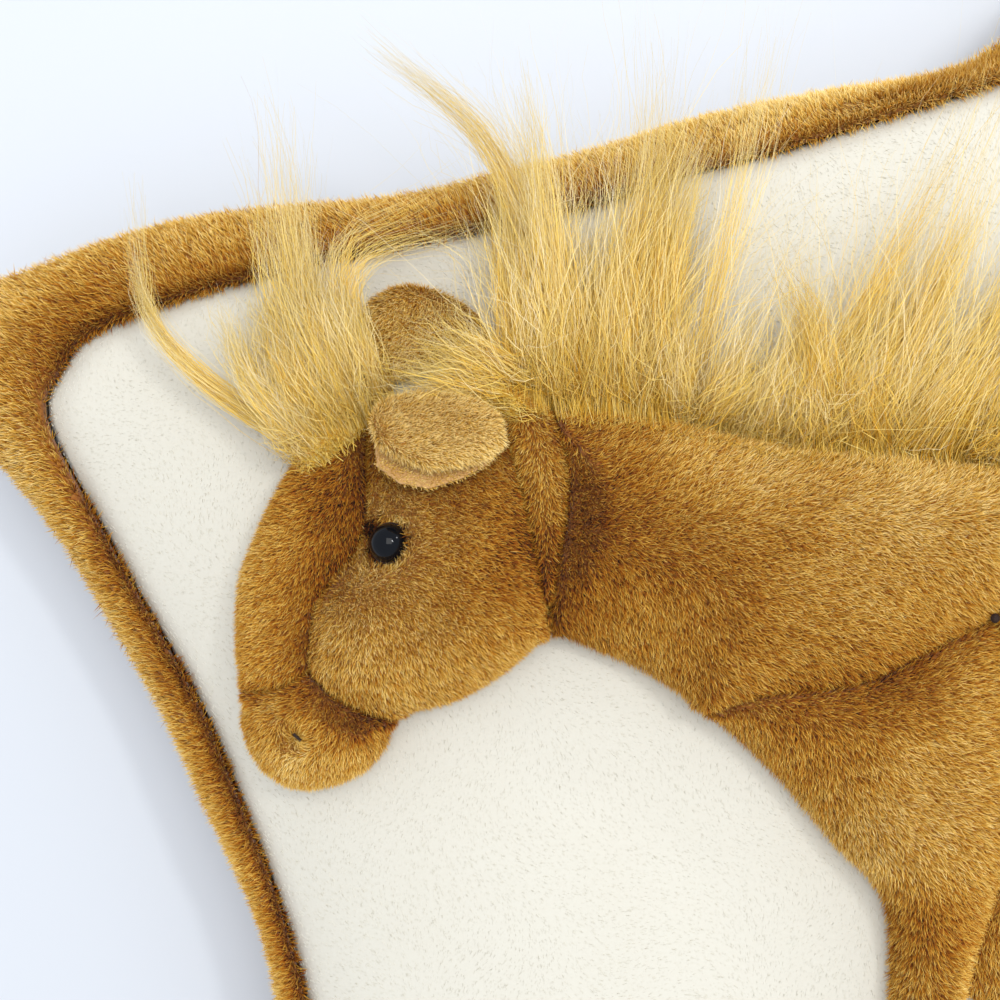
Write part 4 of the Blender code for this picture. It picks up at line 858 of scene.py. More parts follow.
def padPile(name, points, normals, gap):
    # its colours, where and how long it grows, and its comb: towards the eye and the nostril close to them
    isOpen = smoothStep(gap, 0.001, 0.005)
    # painted shade: the tint is darker in the seams between pads
    tint = placeTint(points, name) - 0.07 * (1 - isOpen)
    lengths = 0.75 + 0.25 * isOpen
    sown = np.ones(len(points))
    comb = combField(points, normals)
    if "nap" in pads[name]:
        right, up = pads[name]["nap"]
        comb = combField(points, normals, tuple(rightWay * right + upWay * up))
    if name in ("cheek", "forehead_strip"):
        share = eyeShare(points)
        tint = np.where(share < 1.0, fringe["tint"], tint + 0.05 * (share < 1.7))
        lengths = np.where(share < 1.0, fringe["length"], lengths)
        fromDome = np.hypot(points[:, 0] - eyeSpot[0], points[:, 1] - eyeSpot[1])
        sown = np.where(fromDome < socket["bare"], 0.0, np.where(share < 1.0, fringe["density"], 1.0))
    inward, distance = wayTo(socketSpot, points)
    nearEye = 0.95 * (1 - smoothStep(distance, socket["combNear"], socket["combFar"]))
    comb = comb * (1 - nearEye) + inward * nearEye
    if name == "muzzle":
        inward, distance = wayTo(nostrilSpot, points)
        reach = distance[:, 0]
        tint = tint - 0.32 * np.exp(-(reach / nostril["darkWidth"]) ** 2)
        tint = tint + 0.05 * np.exp(-((reach - nostril["lipAt"]) / nostril["lipWidth"]) ** 2)
        nearHole = 1 - smoothStep(distance, 0.002, 0.009)
        comb = comb * (1 - nearHole) + inward * nearHole
    return tint, sown * isUpper(points, normals), lengths, comb


padSkins = []
for name, values in pads.items():
    newName = camelName(name)
    skin, gap = padSkin(name, newName)
    prepareSkin(skin, *padPile(name, *meshArrays(skin), gap))
    dress(skin, "cushion", name)
    growPile(newName + "Pile", skin, "cushion", brownPile, {
        "Density": values["density"], "Width": strandWidth, "Length": values["length"] * cutShare,
        "Seed": 40 + len(padSkins)})
    padSkins.append(skin)
print("pads made")

hoof = {"voxel": 0.0014, "tint": 0.20, "pileLength": 0.8}
hoofPile = {"Density": 5e6, "Width": 0.00044, "Seed": 60}
for name in ("near_fore_hoof", "far_fore_hoof", "near_hind_hoof", "far_hind_hoof"):
    newName = camelName(name)
    skin = skinOf(name, newName + "Skin", hoof["voxel"], hoofBacking)
    points, normals = meshArrays(skin)
    prepareSkin(
        skin, np.clip(hoof["tint"] + 0.05 * softNoise(points, 0.012, 51), 0.1, 0.4), isUpper(points, normals),
        np.full(len(points), hoof["pileLength"]), combField(points, normals, (0.0, -1.0)))
    dress(skin, "cushion", name)
    growPile(newName + "Pile", skin, "cushion", brownPile, hoofPile)
print("hooves made")


# Ears

ears = {
    "near_ear": {"seed": 71, "tint": 0.90, "comb": tuple(rightWay * 0.9 - upWay * 0.4), "shortened": 0.30},
    "far_ear": {"seed": 72, "tint": 0.72, "comb": (-0.75, -0.65), "shortened": 0.0},
}
earSkin = {"voxel": 0.0011, "rounds": 5, "sink": 0.0008, "edge": 0.0004}
liningSkin = {"voxel": 0.0007, "rounds": 14, "sink": 0.0}
earPile = {"Density": 9.0e6, "Length": 0.0028, "Width": 0.00036}
liningPile = {"Density": 4.0e6, "Length": 0.0013, "Width": 0.00034, "Tint spread": 0.2}
for name, values in ears.items():
    newName = camelName(name)
    skin = skinOf(name, newName + "Skin", material=brownBacking, **earSkin)
    points, normals = meshArrays(skin)
    if values["shortened"]:
        # its half towards the tip is drawn in
        way = -rightWay * 0.45 - upWay * 0.89
        along = (points[:, :2] - points.mean(0)[:2]) @ way
        points[:, :2] -= way[None, :] * (values["shortened"] * np.maximum(along, 0))[:, None]
        setPoints(skin, points)
        points, normals = meshArrays(skin)
    prepareSkin(
        skin, np.clip(values["tint"] + 0.05 * softNoise(points, 0.012, values["seed"]), 0.16, 0.95),
        normals[:, 2] > -0.3, np.full(len(points), 0.95),
        combField(points, normals, values["comb"], outward=0.25, swirl=0.5))
    dress(skin, name, name)
    growPile(newName + "Pile", skin, name, brownPile, {**earPile, "Seed": values["seed"]})
    lining = skinOf(name + "_lining", newName + "Lining", material=liningVelour, **liningSkin)
    points, normals = meshArrays(lining)
    prepareSkin(
        lining, 0.82 + 0.1 * softNoise(points, 0.01, 73), np.ones(len(points)), np.ones(len(points)),
        combField(points, normals, values["comb"], outward=0.6, swirl=0.5))
    dress(lining, name, name + "_lining")
    growPile(newName + "LiningPile", lining, name, brownPile,
             {**liningPile, "Seed": values["seed"] + 2})
print("ears made")


# Tracks for the long hair, drawn one by one

trackPoints = 24
edgeHeight = 0.058
hairLimit = 0.2505  # no hair reaches further over the table than this from the cushion's middle
hairTopLimit = 0.142  # and none higher than this
hairTop = treeOver([frontPanel, borderStrip] + padSkins)


def groundUnder(x, y):
    found = hairTop.ray_cast(Vector((x, y, 0.3)), Vector((0, 0, -1)))
    return found[0].z if found[0] else 0.03


def curveThrough(track, count):
    # an even curve through the track's points
    track = np.array(track, float)
    ends = np.vstack([2 * track[0] - track[1], track, 2 * track[-1] - track[-2]])
    dense = []
    for a, b, c, d in zip(ends, ends[1:], ends[2:], ends[3:]):
        for t in np.linspace(0, 1, 10, endpoint=False):
            bent = (2 * a - 5 * b + 4 * c - d) * t ** 2 + (3 * b - a - 3 * c + d) * t ** 3
            dense.append(0.5 * (2 * b + (c - a) * t + bent))
    dense = np.array(dense + [track[-1]])
    travel = np.concatenate([[0.0], np.cumsum(np.linalg.norm(np.diff(dense, axis=0), axis=1))])
    wanted = np.linspace(0.0, travel[-1], count)
    return np.stack([np.interp(wanted, travel, dense[:, k]) for k in range(3)], 1)


def photoTrack(pixels, heights):
    # a track drawn over the photograph, at heights over the cushion's face in millimetres
    spots = []
    for (px, py), rise in zip(pixels, heights):
        height = 0.09
        for _ in range(8):
            x, y, _z = fromPhoto(px, py, height)
            height = max(float(frontHeight(np.array([x]), np.array([y]))[0]), edgeHeight) + rise * millimetre
        spots.append(fromPhoto(px, py, height))
    return curveThrough(spots, trackPoints)


# What lies under the long hair: a low bed of the same backing

def makeBed(nodeName, newName, body, tracks, reach=0.42, thick=0.0022, amongHair=False):
    tracks = np.array(tracks)
    rows, columns = 9, 60
    across = np.linspace(0, len(tracks) - 1, columns)
    low = np.minimum(across.astype(int), len(tracks) - 2)
    part = (across - low)[:, None]
    points = []
    for isTop in (True, False):
        for k, share in enumerate(np.linspace(0.0, reach, rows)):
            spot = share * (trackPoints - 1)
            base = int(spot)
            step = spot - base
            row = tracks[:, base] * (1 - step) + tracks[:, base + 1] * step
            line = row[low] * (1 - part) + row[low + 1] * part
            for x, y, z in line:
                lowZ = z - 0.5 * thick if amongHair else groundUnder(x, y) - 0.0005
                rise = thick * (1 - 0.6 * k / rows) + 0.0005
                points.append((x, y, lowZ + (rise if isTop else 0.0)))
    count = rows * columns
    faces = []
    for r in range(rows - 1):
        for c in range(columns - 1):
            a = r * columns + c
            faces.append((a, a + 1, a + columns + 1, a + columns))
            faces.append((count + a, count + a + columns, count + a + columns + 1, count + a + 1))
    grid = np.arange(count).reshape(rows, columns)
    rim = [*grid[0], *grid[1:, -1], *grid[-1, -2::-1], *grid[-2:0:-1, 0]]
    for a, b in zip(rim, rim[1:] + rim[:1]):
        faces.append((int(a), int(count + a), int(count + b), int(b)))
    bed = addMesh(newName, points, faces, hairBacking)
    pointOutwards(bed)
    setAttribute(bed, "tint", 0.5 + 0.2 * softNoise(np.array(points), 0.006, 81))
    dress(bed, body, nodeName)


# Long hair: strands follow the tracks, wide at the root and gathered towards their tips

hair = {  # what a piece of hair takes where it names nothing else; sizes in metres
    "tufts": 40, "tuftWidth": 0.5, "tuftSway": 0.006, "gather": 0.7, "rootSpread": 0.0028, "tipSpread": 0.004,
    "lengths": (0.7, 1.0), "width": 0.00026, "frizz": 0.002, "crimp": 0.0, "steps": 11, "tint": (0.25, 0.75),
    "weights": None, "clear": 0.0012, "strayShare": 0.06,
}


def makeHairTree():
    tree = bpy.data.node_groups.new("longHair", "GeometryNodeTree")
    addInputs(tree, {"Geometry": "Geometry", "Material": "Material"})
    given = addNode(tree, "NodeGroupInput").outputs
    stored = {}
    for name in ("roll", "thick", "side", "along", "strandTint"):
        stored[name] = addNode(tree, "GeometryNodeInputNamedAttribute", {"Name": name}, data_type="FLOAT")
    lines = addNode(tree, "GeometryNodeMeshToCurve", {"Mesh": given["Geometry"]})
    rolled = addNode(tree, "GeometryNodeSetCurveTilt", {"Curve": lines, "Tilt": stored["roll"]})
    flat = addNode(tree, "GeometryNodeCurvePrimitiveLine", {
        "Start": (-0.5, 0, 0), "End": (0.5, 0, 0)}, mode="POINTS")
    parts = addNode(tree, "ShaderNodeSeparateXYZ", {"Vector": addNode(tree, "GeometryNodeInputPosition")})
    sided = addNode(tree, "GeometryNodeStoreNamedAttribute", {
        "Geometry": flat, "Name": "side", "Value": parts}, data_type="FLOAT", domain="POINT")
    ribbon = addNode(tree, "GeometryNodeCurveToMesh", {
        "Curve": rolled, "Profile Curve": sided, "Scale": stored["thick"]})
    across = addNode(tree, "ShaderNodeMath", {
        0: stored["side"], 1: 0.012, 2: stored["strandTint"]}, operation="MULTIPLY_ADD")
    up = addNode(tree, "ShaderNodeMath", {0: stored["along"], 1: 0.96, 2: 0.02}, operation="MULTIPLY_ADD")
    layout = addNode(tree, "ShaderNodeCombineXYZ", {"X": across, "Y": up})
    mapped = addNode(tree, "GeometryNodeStoreNamedAttribute", {
        "Geometry": ribbon, "Name": "OFBake", "Value": layout}, data_type="FLOAT2", domain="CORNER")
    real = addNode(tree, "GeometryNodeRealizeInstances", {"Geometry": mapped})
    dressed = addNode(tree, "GeometryNodeSetMaterial", {"Geometry": real, "Material": given["Material"]})
    addNode(tree, "NodeGroupOutput", {"Geometry": dressed})
    return tree


hairTree = makeHairTree()


def strandPaths(chooser, tracks, values):
    # the strands' points, and how each strand's tuft shifts its colour
    tufts, amount, count = values["tufts"], values["amount"], len(tracks)
    density = np.array(values["weights"] if values["weights"] else np.ones(count), float)
    ladder = np.linspace(0, count - 1, 400)
    total = np.cumsum(np.interp(ladder, np.arange(count), density))
    total = (total - total[0]) / (total[-1] - total[0])
    middles = np.interp((np.arange(tufts) + chooser.uniform(0.1, 0.9, tufts)) / tufts, total, ladder)
    tuftLength = chooser.uniform(0.66, 1.0, tufts)
    tuftWay = chooser.normal(size=(tufts, 3)) * np.array([1, 1, 0.3]) * values["tuftSway"]
    tuftTint = chooser.uniform(-0.12, 0.12, tufts)
    mine = chooser.integers(0, tufts, amount)
    isLoose = chooser.random(amount) < values["strayShare"]
    start = np.clip(middles[mine] + chooser.normal(size=amount) * values["tuftWidth"], 0, count - 1)

    s = np.linspace(0, 1, values["steps"])
    hold = np.where(isLoose, 0.2, values["gather"])[:, None] * (s ** 0.8)[None, :]
    u = np.clip(start[:, None] * (1 - hold) + middles[mine][:, None] * hold, 0, count - 1.0001)
    low = np.minimum(u.astype(int), max(count - 2, 0))
    part = (u - low)[:, :, None]
    reach = chooser.uniform(*values["lengths"], amount) * tuftLength[mine]
    sample = s[None, :] * reach[:, None] * (trackPoints - 1)
    base = np.minimum(sample.astype(int), trackPoints - 2)
    rest = (sample - base)[:, :, None]
    beside = np.minimum(low + 1, count - 1)
    nearPath, farPath = (tracks[i, base] * (1 - rest) + tracks[i, base + 1] * rest for i in (low, beside))
    paths = nearPath * (1 - part) + farPath * part

    # strands spread, sway and frizz more towards their tips
    grow = (s ** 1.3)[None, :, None]
    flatten = np.array([1.0, 1.0, 0.7])
    spread = np.where(isLoose, 2.0, 1.0)[:, None, None] * values["tipSpread"]
    rootOffset = chooser.normal(size=(amount, 1, 3)) * values["rootSpread"] * flatten
    tipOffset = chooser.normal(size=(amount, 1, 3)) * spread * flatten
    length = np.linalg.norm(paths[:, -1] - paths[:, 0], axis=1)[:, None, None]
    scale = np.clip(length / 0.05, 0.15, 1.3)
    paths += rootOffset * (1 - 0.6 * grow) + (tipOffset + tuftWay[mine][:, None, :]) * grow * scale
    for turns, size in ((1.3, 1.0), (2.9, 0.45)):
        phase = chooser.uniform(0, 6.28, (amount, 1, 3))
        speed = turns * chooser.uniform(0.6, 1.4, (amount, 1, 3))
        wave = np.sin(speed * 6.28 * s[None, :, None] + phase) * chooser.uniform(0.2, 1.6, (amount, 1, 1))
        paths += values["frizz"] * size * wave * grow
    if values["crimp"]:
        paths += values["crimp"] * np.cumsum(chooser.normal(size=paths.shape), axis=1) / math.sqrt(len(s))
    return paths, tuftTint[mine]


def layOverGround(chooser, paths, clear):
    flat = paths.reshape(-1, 3)
    flat[:, :2] = np.clip(flat[:, :2], -hairLimit, hairLimit)
    ground = np.array([groundUnder(x, y) for x, y, _z in flat]) + clear
    flat[:, 2] = np.maximum(flat[:, 2], ground + chooser.uniform(0.0, 0.002, len(flat)))
    flat[:, 2] = np.minimum(flat[:, 2], hairTopLimit)
    return flat


def growHair(name, tracks, body, piece):
    values = {**hair, **piece}
    chooser = np.random.default_rng(values["seed"])
    amount, steps = values["amount"], values["steps"]
    paths, tuftTint = strandPaths(chooser, np.array(tracks), values)
    points = layOverGround(chooser, paths, values["clear"])
    starts = np.arange(amount)[:, None] * steps + np.arange(steps - 1)[None, :]
    edges = np.stack([starts, starts + 1], 2).reshape(-1, 2)
    mesh = bpy.data.meshes.new(name)
    mesh.vertices.add(amount * steps)
    mesh.vertices.foreach_set("co", points.astype(np.float32).ravel())
    mesh.edges.add(len(edges))
    mesh.edges.foreach_set("vertices", edges.astype(np.int32).ravel())
    strand = bpy.data.objects.new(name, mesh)
    bpy.context.scene.collection.objects.link(strand)

    s = np.linspace(0, 1, steps)
    colour = chooser.uniform(*values["tint"], amount) + tuftTint
    strandTint = np.clip(colour[:, None] + 0.30 * (s ** 0.9)[None, :], 0.02, 0.98)
    strandTint[0], strandTint[1] = 0.06, 0.94  # two strands spread the hair over its whole colour map
    taper = values["width"] * (1 - 0.75 * s ** 2)[None, :] * chooser.uniform(0.6, 1.4, (amount, 1))
    setAttribute(strand, "strandTint", strandTint.ravel())
    setAttribute(strand, "along", np.tile(s, amount))
    setAttribute(strand, "thick", taper.ravel())
    setAttribute(strand, "roll", np.repeat(chooser.uniform(-1.2, 1.2, amount), steps))
    finishGrowth(strand, hairTree, {"Material": longPile}, body)


# Mane

maneRises = [4, 17, 22, 18, 12]  # millimetres over the cushion's face
maneLines = [
    [(514, 398), (512, 340), (511, 285), (514, 240), (512, 205)],
    [(535, 402), (531, 335), (530, 270), (526, 205), (508, 150)],
    [(565, 408), (563, 340), (563, 270), (566, 210), (568, 155)],
    [(595, 408), (592, 345), (596, 275), (602, 210), (606, 150)],
    [(625, 411), (626, 345), (632, 275), (640, 205), (646, 140)],
    [(652, 414), (655, 355), (660, 295), (666, 235), (672, 180)],
    [(678, 420), (684, 375), (692, 335), (702, 300), (714, 268)],
    [(708, 428), (718, 398), (730, 370), (744, 345), (760, 322)],
    [(742, 437), (756, 405), (772, 375), (790, 348), (808, 325)],
    [(778, 444), (800, 400), (822, 345), (842, 290), (858, 232)],
    [(822, 448), (846, 395), (868, 335), (886, 275), (900, 212)],
    [(875, 453), (898, 400), (922, 335), (944, 265), (962, 195)],
    [(930, 459), (954, 408), (980, 345), (1002, 280), (1020, 205)],
    [(985, 464), (1010, 418), (1040, 365), (1068, 305), (1090, 245)],
    [(1022, 468), (1052, 432), (1085, 390), (1118, 350), (1145, 310)],
]
maneTracks = [photoTrack(pixels, maneRises) for pixels in maneLines]
maneWeights = [1.1, 1.5, 1.5, 1.5, 1.4, 1.0, 0.7, 0.55, 0.7, 1.2, 1.4, 1.4, 1.3, 1.1, 0.9]
maneHair = {
    "maneUndergrowth": {
        "seed": 101, "amount": 5600, "tufts": 60, "rootSpread": 0.0018, "tipSpread": 0.0045, "gather": 0.1,
        "tuftWidth": 0.4, "tuftSway": 0.003, "lengths": (0.14, 0.36), "width": 0.00020,
        "frizz": 0.0025, "steps": 8, "tint": (0.05, 0.45), "crimp": 0.0028, "strayShare": 0.0},
    "maneBody": {
        "seed": 102, "amount": 12000, "tufts": 44, "rootSpread": 0.0022, "tipSpread": 0.0026, "gather": 0.80,
        "tuftWidth": 0.27, "tuftSway": 0.012, "lengths": (0.45, 1.0), "width": 0.00017,
        "frizz": 0.0022, "steps": 9, "tint": (0.10, 0.60)},
    "maneTips": {
        "seed": 103, "amount": 2600, "tufts": 60, "rootSpread": 0.0024, "tipSpread": 0.009, "gather": 0.35,
        "tuftWidth": 0.5, "tuftSway": 0.012, "lengths": (0.6, 1.15), "width": 0.00012,
        "frizz": 0.0036, "steps": 12, "tint": (0.25, 0.65), "strayShare": 0.35},
}
makeBed("mane", "maneBed", "cushion", maneTracks[:-2])
for name, values in maneHair.items():
    growHair(name, maneTracks, "cushion", {**values, "weights": maneWeights})
print("mane made")


# Forelock

foreRises = [5, 17, 20, 17, 12]
foreLines = [
    [(312, 457), (284, 440), (262, 420), (248, 402), (236, 388)],
    [(326, 450), (290, 422), (266, 388), (256, 340), (251, 285)],
    [(338, 440), (302, 395), (276, 340), (264, 290), (258, 250)],
    [(350, 430), (320, 380), (296, 325), (284, 275), (279, 222)],
    [(358, 420), (334, 368), (313, 318), (303, 270), (299, 222)],
    [(366, 410), (348, 362), (333, 318), (330, 278), (342, 245)],
    [(384, 400), (368, 368), (354, 338), (344, 308), (344, 278)],
]
foreTracks = [photoTrack(pixels, foreRises) for pixels in foreLines]
foreWeights = [0.6, 1.2, 1.4, 1.4, 1.3, 1.0, 0.8]
foreHair = {
    "forelockRoots": {
        "seed": 111, "amount": 1900, "tufts": 24, "rootSpread": 0.0020, "tipSpread": 0.004, "gather": 0.1,
        "tuftWidth": 0.35, "tuftSway": 0.003, "lengths": (0.14, 0.40), "width": 0.00020,
        "frizz": 0.0025, "steps": 8, "tint": (0.15, 0.50), "crimp": 0.0025, "strayShare": 0.0},
    "forelockBody": {
        "seed": 112, "amount": 5200, "tufts": 24, "rootSpread": 0.0022, "tipSpread": 0.0024, "gather": 0.76,
        "tuftWidth": 0.26, "tuftSway": 0.006, "lengths": (0.5, 1.0), "width": 0.00016,
        "frizz": 0.0027, "steps": 10, "tint": (0.16, 0.65), "strayShare": 0.12},
}
makeBed("forelock", "forelockBed", "cushion", foreTracks)
for name, values in foreHair.items():
    growHair(name, foreTracks, "cushion", {**values, "weights": foreWeights})

# single locks and loose bundles: pixels, heights over the face, strands, and their spread at root and tip
lockTracks = [
    ([(548, 405), (536, 310), (522, 215), (475, 130), (404, 70), (325, 6)],
     [4, 19, 24, 28, 36, 44], 220, 0.0024, 0.0011),
    ([(556, 405), (548, 300), (532, 205), (486, 128), (440, 86), (385, 40)],
     [4, 19, 22, 24, 30, 36], 90, 0.0026, 0.0034),
    ([(622, 410), (632, 310), (644, 210), (655, 120), (652, 50), (648, -20)],
     [4, 19, 22, 26, 32, 38], 130, 0.0024, 0.0030),
    ([(612, 410), (618, 310), (628, 210), (636, 120), (634, 60), (645, 0)],
     [4, 19, 22, 26, 32, 38], 90, 0.0026, 0.0040),
    ([(690, 424), (706, 340), (728, 250), (750, 160), (766, 85), (784, 0)],
     [4, 17, 20, 24, 30, 34], 90, 0.0020, 0.0034),
    ([(800, 445), (845, 350), (900, 250), (950, 160), (985, 90), (1010, 40)],
     [4, 19, 22, 24, 28, 32], 120, 0.0024, 0.0034),
    ([(870, 452), (905, 360), (945, 265), (980, 175), (1005, 110), (1030, 50)],
     [4, 19, 22, 24, 28, 32], 120, 0.0024, 0.0034),
    ([(330, 452), (285, 432), (240, 407), (198, 376), (161, 338), (140, 296), (133, 235), (130, 172)],
     [5, 10, 13, 15, 17, 19, 22, 26], 210, 0.0020, 0.0005),
    ([(345, 440), (300, 370), (272, 290), (263, 210), (248, 150), (225, 90)],
     [5, 17, 20, 22, 26, 30], 70, 0.0022, 0.0022),
    ([(352, 430), (318, 360), (295, 285), (283, 205), (276, 140), (262, 80)],
     [5, 17, 20, 22, 26, 30], 80, 0.0022, 0.0022),
    ([(358, 420), (332, 350), (310, 285), (300, 205), (296, 140), (284, 95)],
     [5, 17, 20, 22, 26, 30], 80, 0.0022, 0.0022),
    ([(366, 408), (350, 340), (338, 285), (350, 240), (400, 215), (480, 172)],
     [5, 17, 19, 20, 20, 20], 110, 0.0022, 0.0022),
    ([(368, 405), (352, 340), (345, 290), (365, 255), (410, 240), (500, 225)],
     [5, 17, 19, 20, 20, 20], 80, 0.0022, 0.0022),
]
lockHair = {
    "tufts": 3, "gather": 0.5, "tuftWidth": 0.4, "tuftSway": 0.0012, "lengths": (0.72, 1.05),
    "width": 0.00013, "frizz": 0.0018, "steps": 14, "tint": (0.22, 0.60), "strayShare": 0.10,
}
beside = np.array([0.0010, 0.0006, 0.0004])
for index, (pixels, heights, amount, rootSpread, tipSpread) in enumerate(lockTracks):
    track = photoTrack(pixels, heights)
    growHair(f"lock{index + 1}", [track, track + beside], "cushion", {
        **lockHair, "seed": 120 + index, "amount": amount, "rootSpread": rootSpread, "tipSpread": tipSpread})

crossRises = [8, 20, 22, 20, 14]
crossLines = [
    [(528, 385), (498, 372), (465, 352), (430, 328), (398, 305)],
    [(520, 378), (488, 358), (455, 334), (425, 312), (402, 292)],
    [(515, 396), (478, 384), (440, 372), (405, 362), (370, 358)],
    [(512, 402), (470, 392), (432, 386), (398, 382), (366, 388)],
    [(500, 402), (466, 398), (430, 393), (400, 392), (372, 398)],
]
crossTracks = [photoTrack(pixels, crossRises) for pixels in crossLines]
pollHair = {
    "seed": 140, "amount": 1000, "tufts": 14, "rootSpread": 0.003, "tipSpread": 0.005, "gather": 0.3,
    "tuftWidth": 0.4, "tuftSway": 0.004, "lengths": (0.4, 1.0), "width": 0.00017,
    "frizz": 0.0025, "steps": 10, "tint": (0.10, 0.55), "crimp": 0.002,
}
growHair("pollHair", crossTracks, "cushion", pollHair)
print("forelock made")


# Tail

tailHair = {
    "seed": 151, "amount": 4200, "tufts": 10, "rootSpread": 0.0024, "tipSpread": 0.0036, "gather": 0.6,
    "tuftWidth": 0.5, "tuftSway": 0.002, "lengths": (0.6, 1.0), "width": 0.00024,
    "frizz": 0.0018, "steps": 10, "tint": (0.20, 0.7), "clear": 0.0022,
}
tailSpine = [
    (0.161, 0.056), (0.170, 0.048), (0.1768, 0.030), (0.1782, 0.005), (0.1770, -0.025), (0.1700, -0.050),
]
tailTracks = []
for shift in (-0.0065, -0.003, 0.0, 0.003, 0.0055):
    track = []
    for k, (x, y) in enumerate(tailSpine):
        aside = x + shift * min(1.0, 0.25 + k * 0.25) * (1.0 if k < 5 else 0.6)
        rise = 0.0045 + 0.004 * math.sin(math.pi * min(k / 4.0, 1.0))
        track.append((aside, y, groundUnder(aside, y) + rise))
    tailTracks.append(curveThrough(track, trackPoints))
makeBed("tail", "tailBed", "tail", tailTracks, reach=0.40, thick=0.0016, amongHair=True)
growHair("tailHair", tailTracks, "tail", tailHair)
print("tail made")


# Eye, nostril and tack

def turnedPiece(name, profile, matrix, material, sides=64):
    # a profile of radius and height turned round the piece's own axis
    rings, points = [], []
    for radius, height in profile:
        if radius == 0.0:
            rings.append([len(points)] * sides)
            points.append(matrix @ Vector((0, 0, height)))
            continue
        rings.append(list(range(len(points), len(points) + sides)))
        points += [matrix @ Vector((radius * math.cos(a), radius * math.sin(a), height))
                   for a in (2 * math.pi * i / sides for i in range(sides))]
    faces = []
    for upper, lower in zip(rings, rings[1:]):
        for i in range(sides):
            j = (i + 1) % sides
            faces.append(tuple(dict.fromkeys([upper[i], lower[i], lower[j], upper[j]])))
    return addMesh(name, points, faces, material)


eye = {"dome": 0.0052, "height": 0.0050, "rim": 0.0057, "lip": 0.0003, "rimDepth": 0.0009, "stem": 0.0020,
       "stemEnd": 0.0098, "sunk": 0.0074}
eyePoints = meshArrays(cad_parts["eye"])[0]
stemCentre = eyePoints[eyePoints[:, 2] < eyePoints[:, 2].min() + 0.002].mean(0)
capCentre = eyePoints[eyePoints[:, 2] > eyePoints[:, 2].max() - 0.0012].mean(0)
eyeWay = Vector(capCentre - stemCentre).normalized()
eyeReach = max((Vector(p) - Vector(stemCentre)).dot(eyeWay) for p in eyePoints)
eyeBase = Vector(stemCentre) + eyeWay * (eyeReach - eye["sunk"])
eyeBase.x, eyeBase.y = eyeSpot[0], eyeSpot[1]
eyeMatrix = Matrix.Translation(eyeBase) @ eyeWay.to_track_quat("Z", "Y").to_matrix().to_4x4()
domeProfile = [(0.0, eye["height"])]
for a in np.linspace(0.08, math.pi / 2, 22):
    domeProfile.append((eye["dome"] * math.sin(a), eye["height"] * math.cos(a)))
domeProfile += [(eye["dome"] * 0.98, -0.0004), (0.0, -0.0004)]
seat, lip = eye["dome"] + 0.0001, eye["lip"]
rimProfile = [
    (0.0, -0.0005), (seat, -0.0005), (seat, 0.0), (eye["rim"] - lip, 0.0), (eye["rim"], -lip),
    (eye["rim"], -eye["rimDepth"]), (eye["stem"], -eye["rimDepth"]), (eye["stem"], -eye["stemEnd"]),
    (0.0, -eye["stemEnd"]),
]
eyeDome = turnedPiece("eyeDome", domeProfile, eyeMatrix, eyeAcrylic)
eyeRim = turnedPiece("eyeRimAndStem", rimProfile, eyeMatrix, eyeRimPlastic)
dress(eyeDome, "cushion", "eye")
dress(eyeRim, "cushion")
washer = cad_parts["eye_washer"]
washer.data.materials.clear()
washer.data.materials.append(washerNylon)

# the stitches lie lower in the pile than their solids, and are smaller
stitchShare = 0.8
for name, depth in (("nostril_stitch", 0.0016), ("shoulder_tack", 0.0015)):
    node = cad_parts[name]
    points = meshArrays(node)[0]
    middle = points.mean(0)
    points = middle + (points - middle) * stitchShare - np.array([0.0, 0.0, depth])
    thread = addMesh(camelName(name), points, [tuple(f.vertices) for f in node.data.polygons], darkThread)
    dress(thread, "cushion", name)


# Filling

stuffing = {"voxel": 0.005, "under": 0.0014, "lump": 0.0006, "rimUnder": 0.0022}
filling = skinOf("cushion_filling", "fillingFibre", stuffing["voxel"], fillingFibre, rounds=3, sink=0.0)
points, normals = meshArrays(filling)
rimShare = np.clip(sidewaysShare(points), 0.0, 1.0)
points = settle(points[:, None, :], rimShare)[:, 0, :]
under = stuffing["under"] + stuffing["lump"] * softNoise(points, 0.02, 91) + stuffing["rimUnder"] * rimShare
setPoints(filling, points - normals * under[:, None])
setAttribute(filling, "tint", 0.5 + 0.2 * softNoise(points, 0.03, 92))
dress(filling, "cushion", "cushion_filling")
bpy.data.objects.remove(blade)
print("small pieces made")


# Table, light and camera

stageValues = {
    "floorColour": "#D1D7DF", "floorReach": 30.0, "horizonColour": "#D8DDE8", "worldColour": "#F8FAFF",
    "worldStrength": 1.04,
}
lamps = {
    "window": {"place": (0.12, 0.34, 1.40), "target": (0.0, 0.0, 0.05), "size": (0.8, 0.8), "power": 7.2,
               "colour": "#FFFDF6"},
    "spotlight": {"place": (0.42, 0.22, 1.1), "target": (-0.1, 0.1, 0.05), "size": (0.16, 0.09), "power": 2.6,
                  "colour": "#FFFFFF"},
    "secondSpotlight": {"place": (0.75, 0.35, 0.55), "target": (-0.1, 0.1, 0.05), "size": (0.08, 0.08),
                        "power": 0.9, "colour": "#FFFFFF"},
}
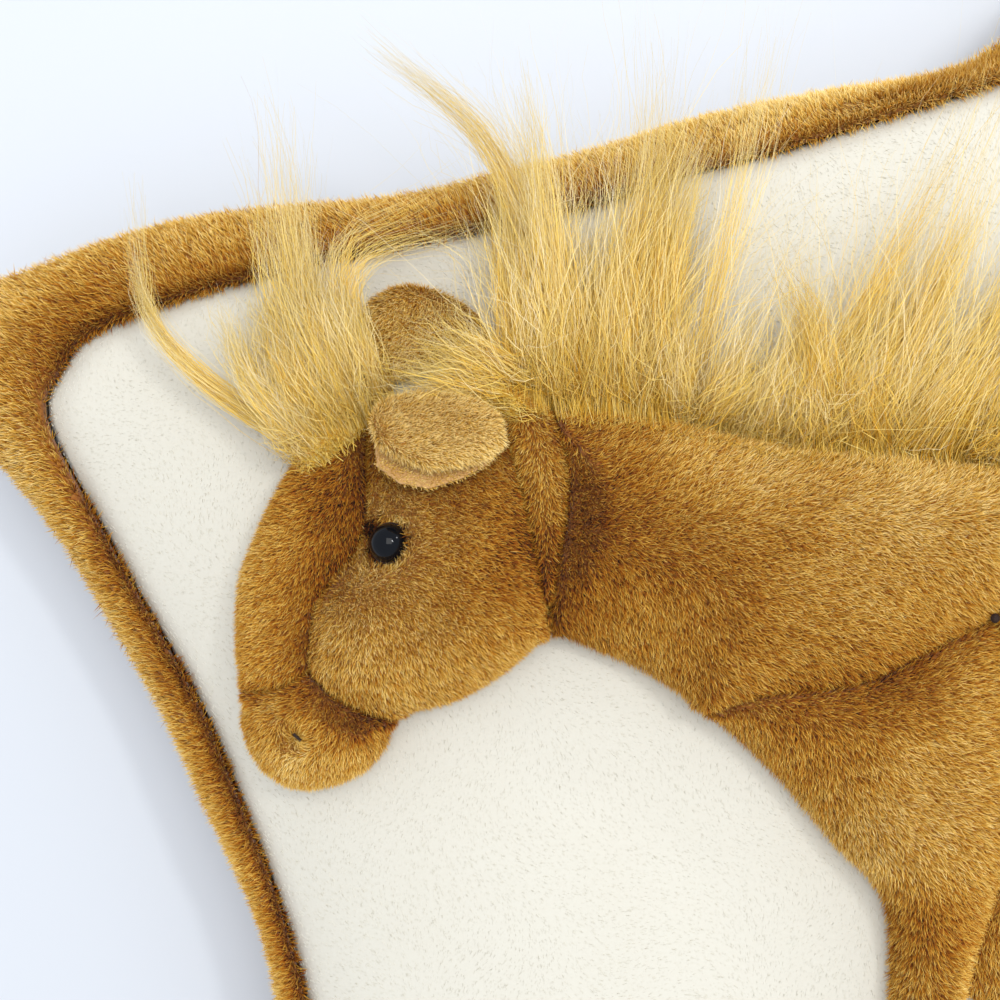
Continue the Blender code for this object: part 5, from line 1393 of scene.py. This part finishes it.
# a painted table top, even and dull
floorColour = linearColour(stageValues["floorColour"])
paleTable = newMaterial("paleTable", {"Base Color": floorColour, "Roughness": 0.6})[0]
reach = stageValues["floorReach"]
floor = addMesh(
    "floor", [(-reach, -reach, 0), (reach, -reach, 0), (reach, reach, 0), (-reach, reach, 0)], [(0, 1, 2, 3)],
    paleTable, False)

# the camera, mirrors and clear things see the horizon's colour, and the light is the world's
world = bpy.data.worlds.new("studio")
bpy.context.scene.world = world
world.use_nodes = True
skyTree = world.node_tree
sky = skyTree.nodes["Background"]
sky.inputs["Color"].default_value = linearColour(stageValues["worldColour"])
sky.inputs["Strength"].default_value = stageValues["worldStrength"]
seenSky = addNode(skyTree, "ShaderNodeBackground", {
    "Strength": 1.0, "Color": linearColour(stageValues["horizonColour"])})
rays = addNode(skyTree, "ShaderNodeLightPath").outputs
isMirrored = addNode(skyTree, "ShaderNodeMath", {
    0: rays["Is Glossy Ray"], 1: rays["Is Transmission Ray"]}, operation="MAXIMUM")
isSeen = addNode(skyTree, "ShaderNodeMath", {0: rays["Is Camera Ray"], 1: isMirrored}, operation="MAXIMUM")
eitherSky = addNode(skyTree, "ShaderNodeMixShader", {"Fac": isSeen, 1: sky, 2: seenSky})
skyTree.links.new(eitherSky.outputs["Shader"], skyTree.nodes["World Output"].inputs["Surface"])

for name, values in lamps.items():
    light = bpy.data.lights.new(name, "AREA")
    light.shape = "RECTANGLE"
    light.size, light.size_y = values["size"]
    light.energy = values["power"]
    light.color = linearColour(values["colour"])[:3]
    lamp = bpy.data.objects.new(name, light)
    lamp.location = values["place"]
    lamp.rotation_euler = (Vector(values["target"]) - lamp.location).to_track_quat("-Z", "Y").to_euler()
    bpy.context.scene.collection.objects.link(lamp)

view = bpy.data.cameras.new("photographCamera")
view.lens = camera["lens"]
view.sensor_width = camera["sensor"]
view.clip_start = 0.01
viewer = bpy.data.objects.new("photographCamera", view)
turn = Matrix(((rightWay[0], upWay[0], 0), (rightWay[1], upWay[1], 0), (0, 0, 1)))
viewer.matrix_world = Matrix.Translation((camera["x"], camera["y"], camera["height"])) @ turn.to_4x4()
bpy.context.scene.collection.objects.link(viewer)
bpy.context.scene.camera = viewer
bpy.context.scene.view_settings.view_transform = "Standard"
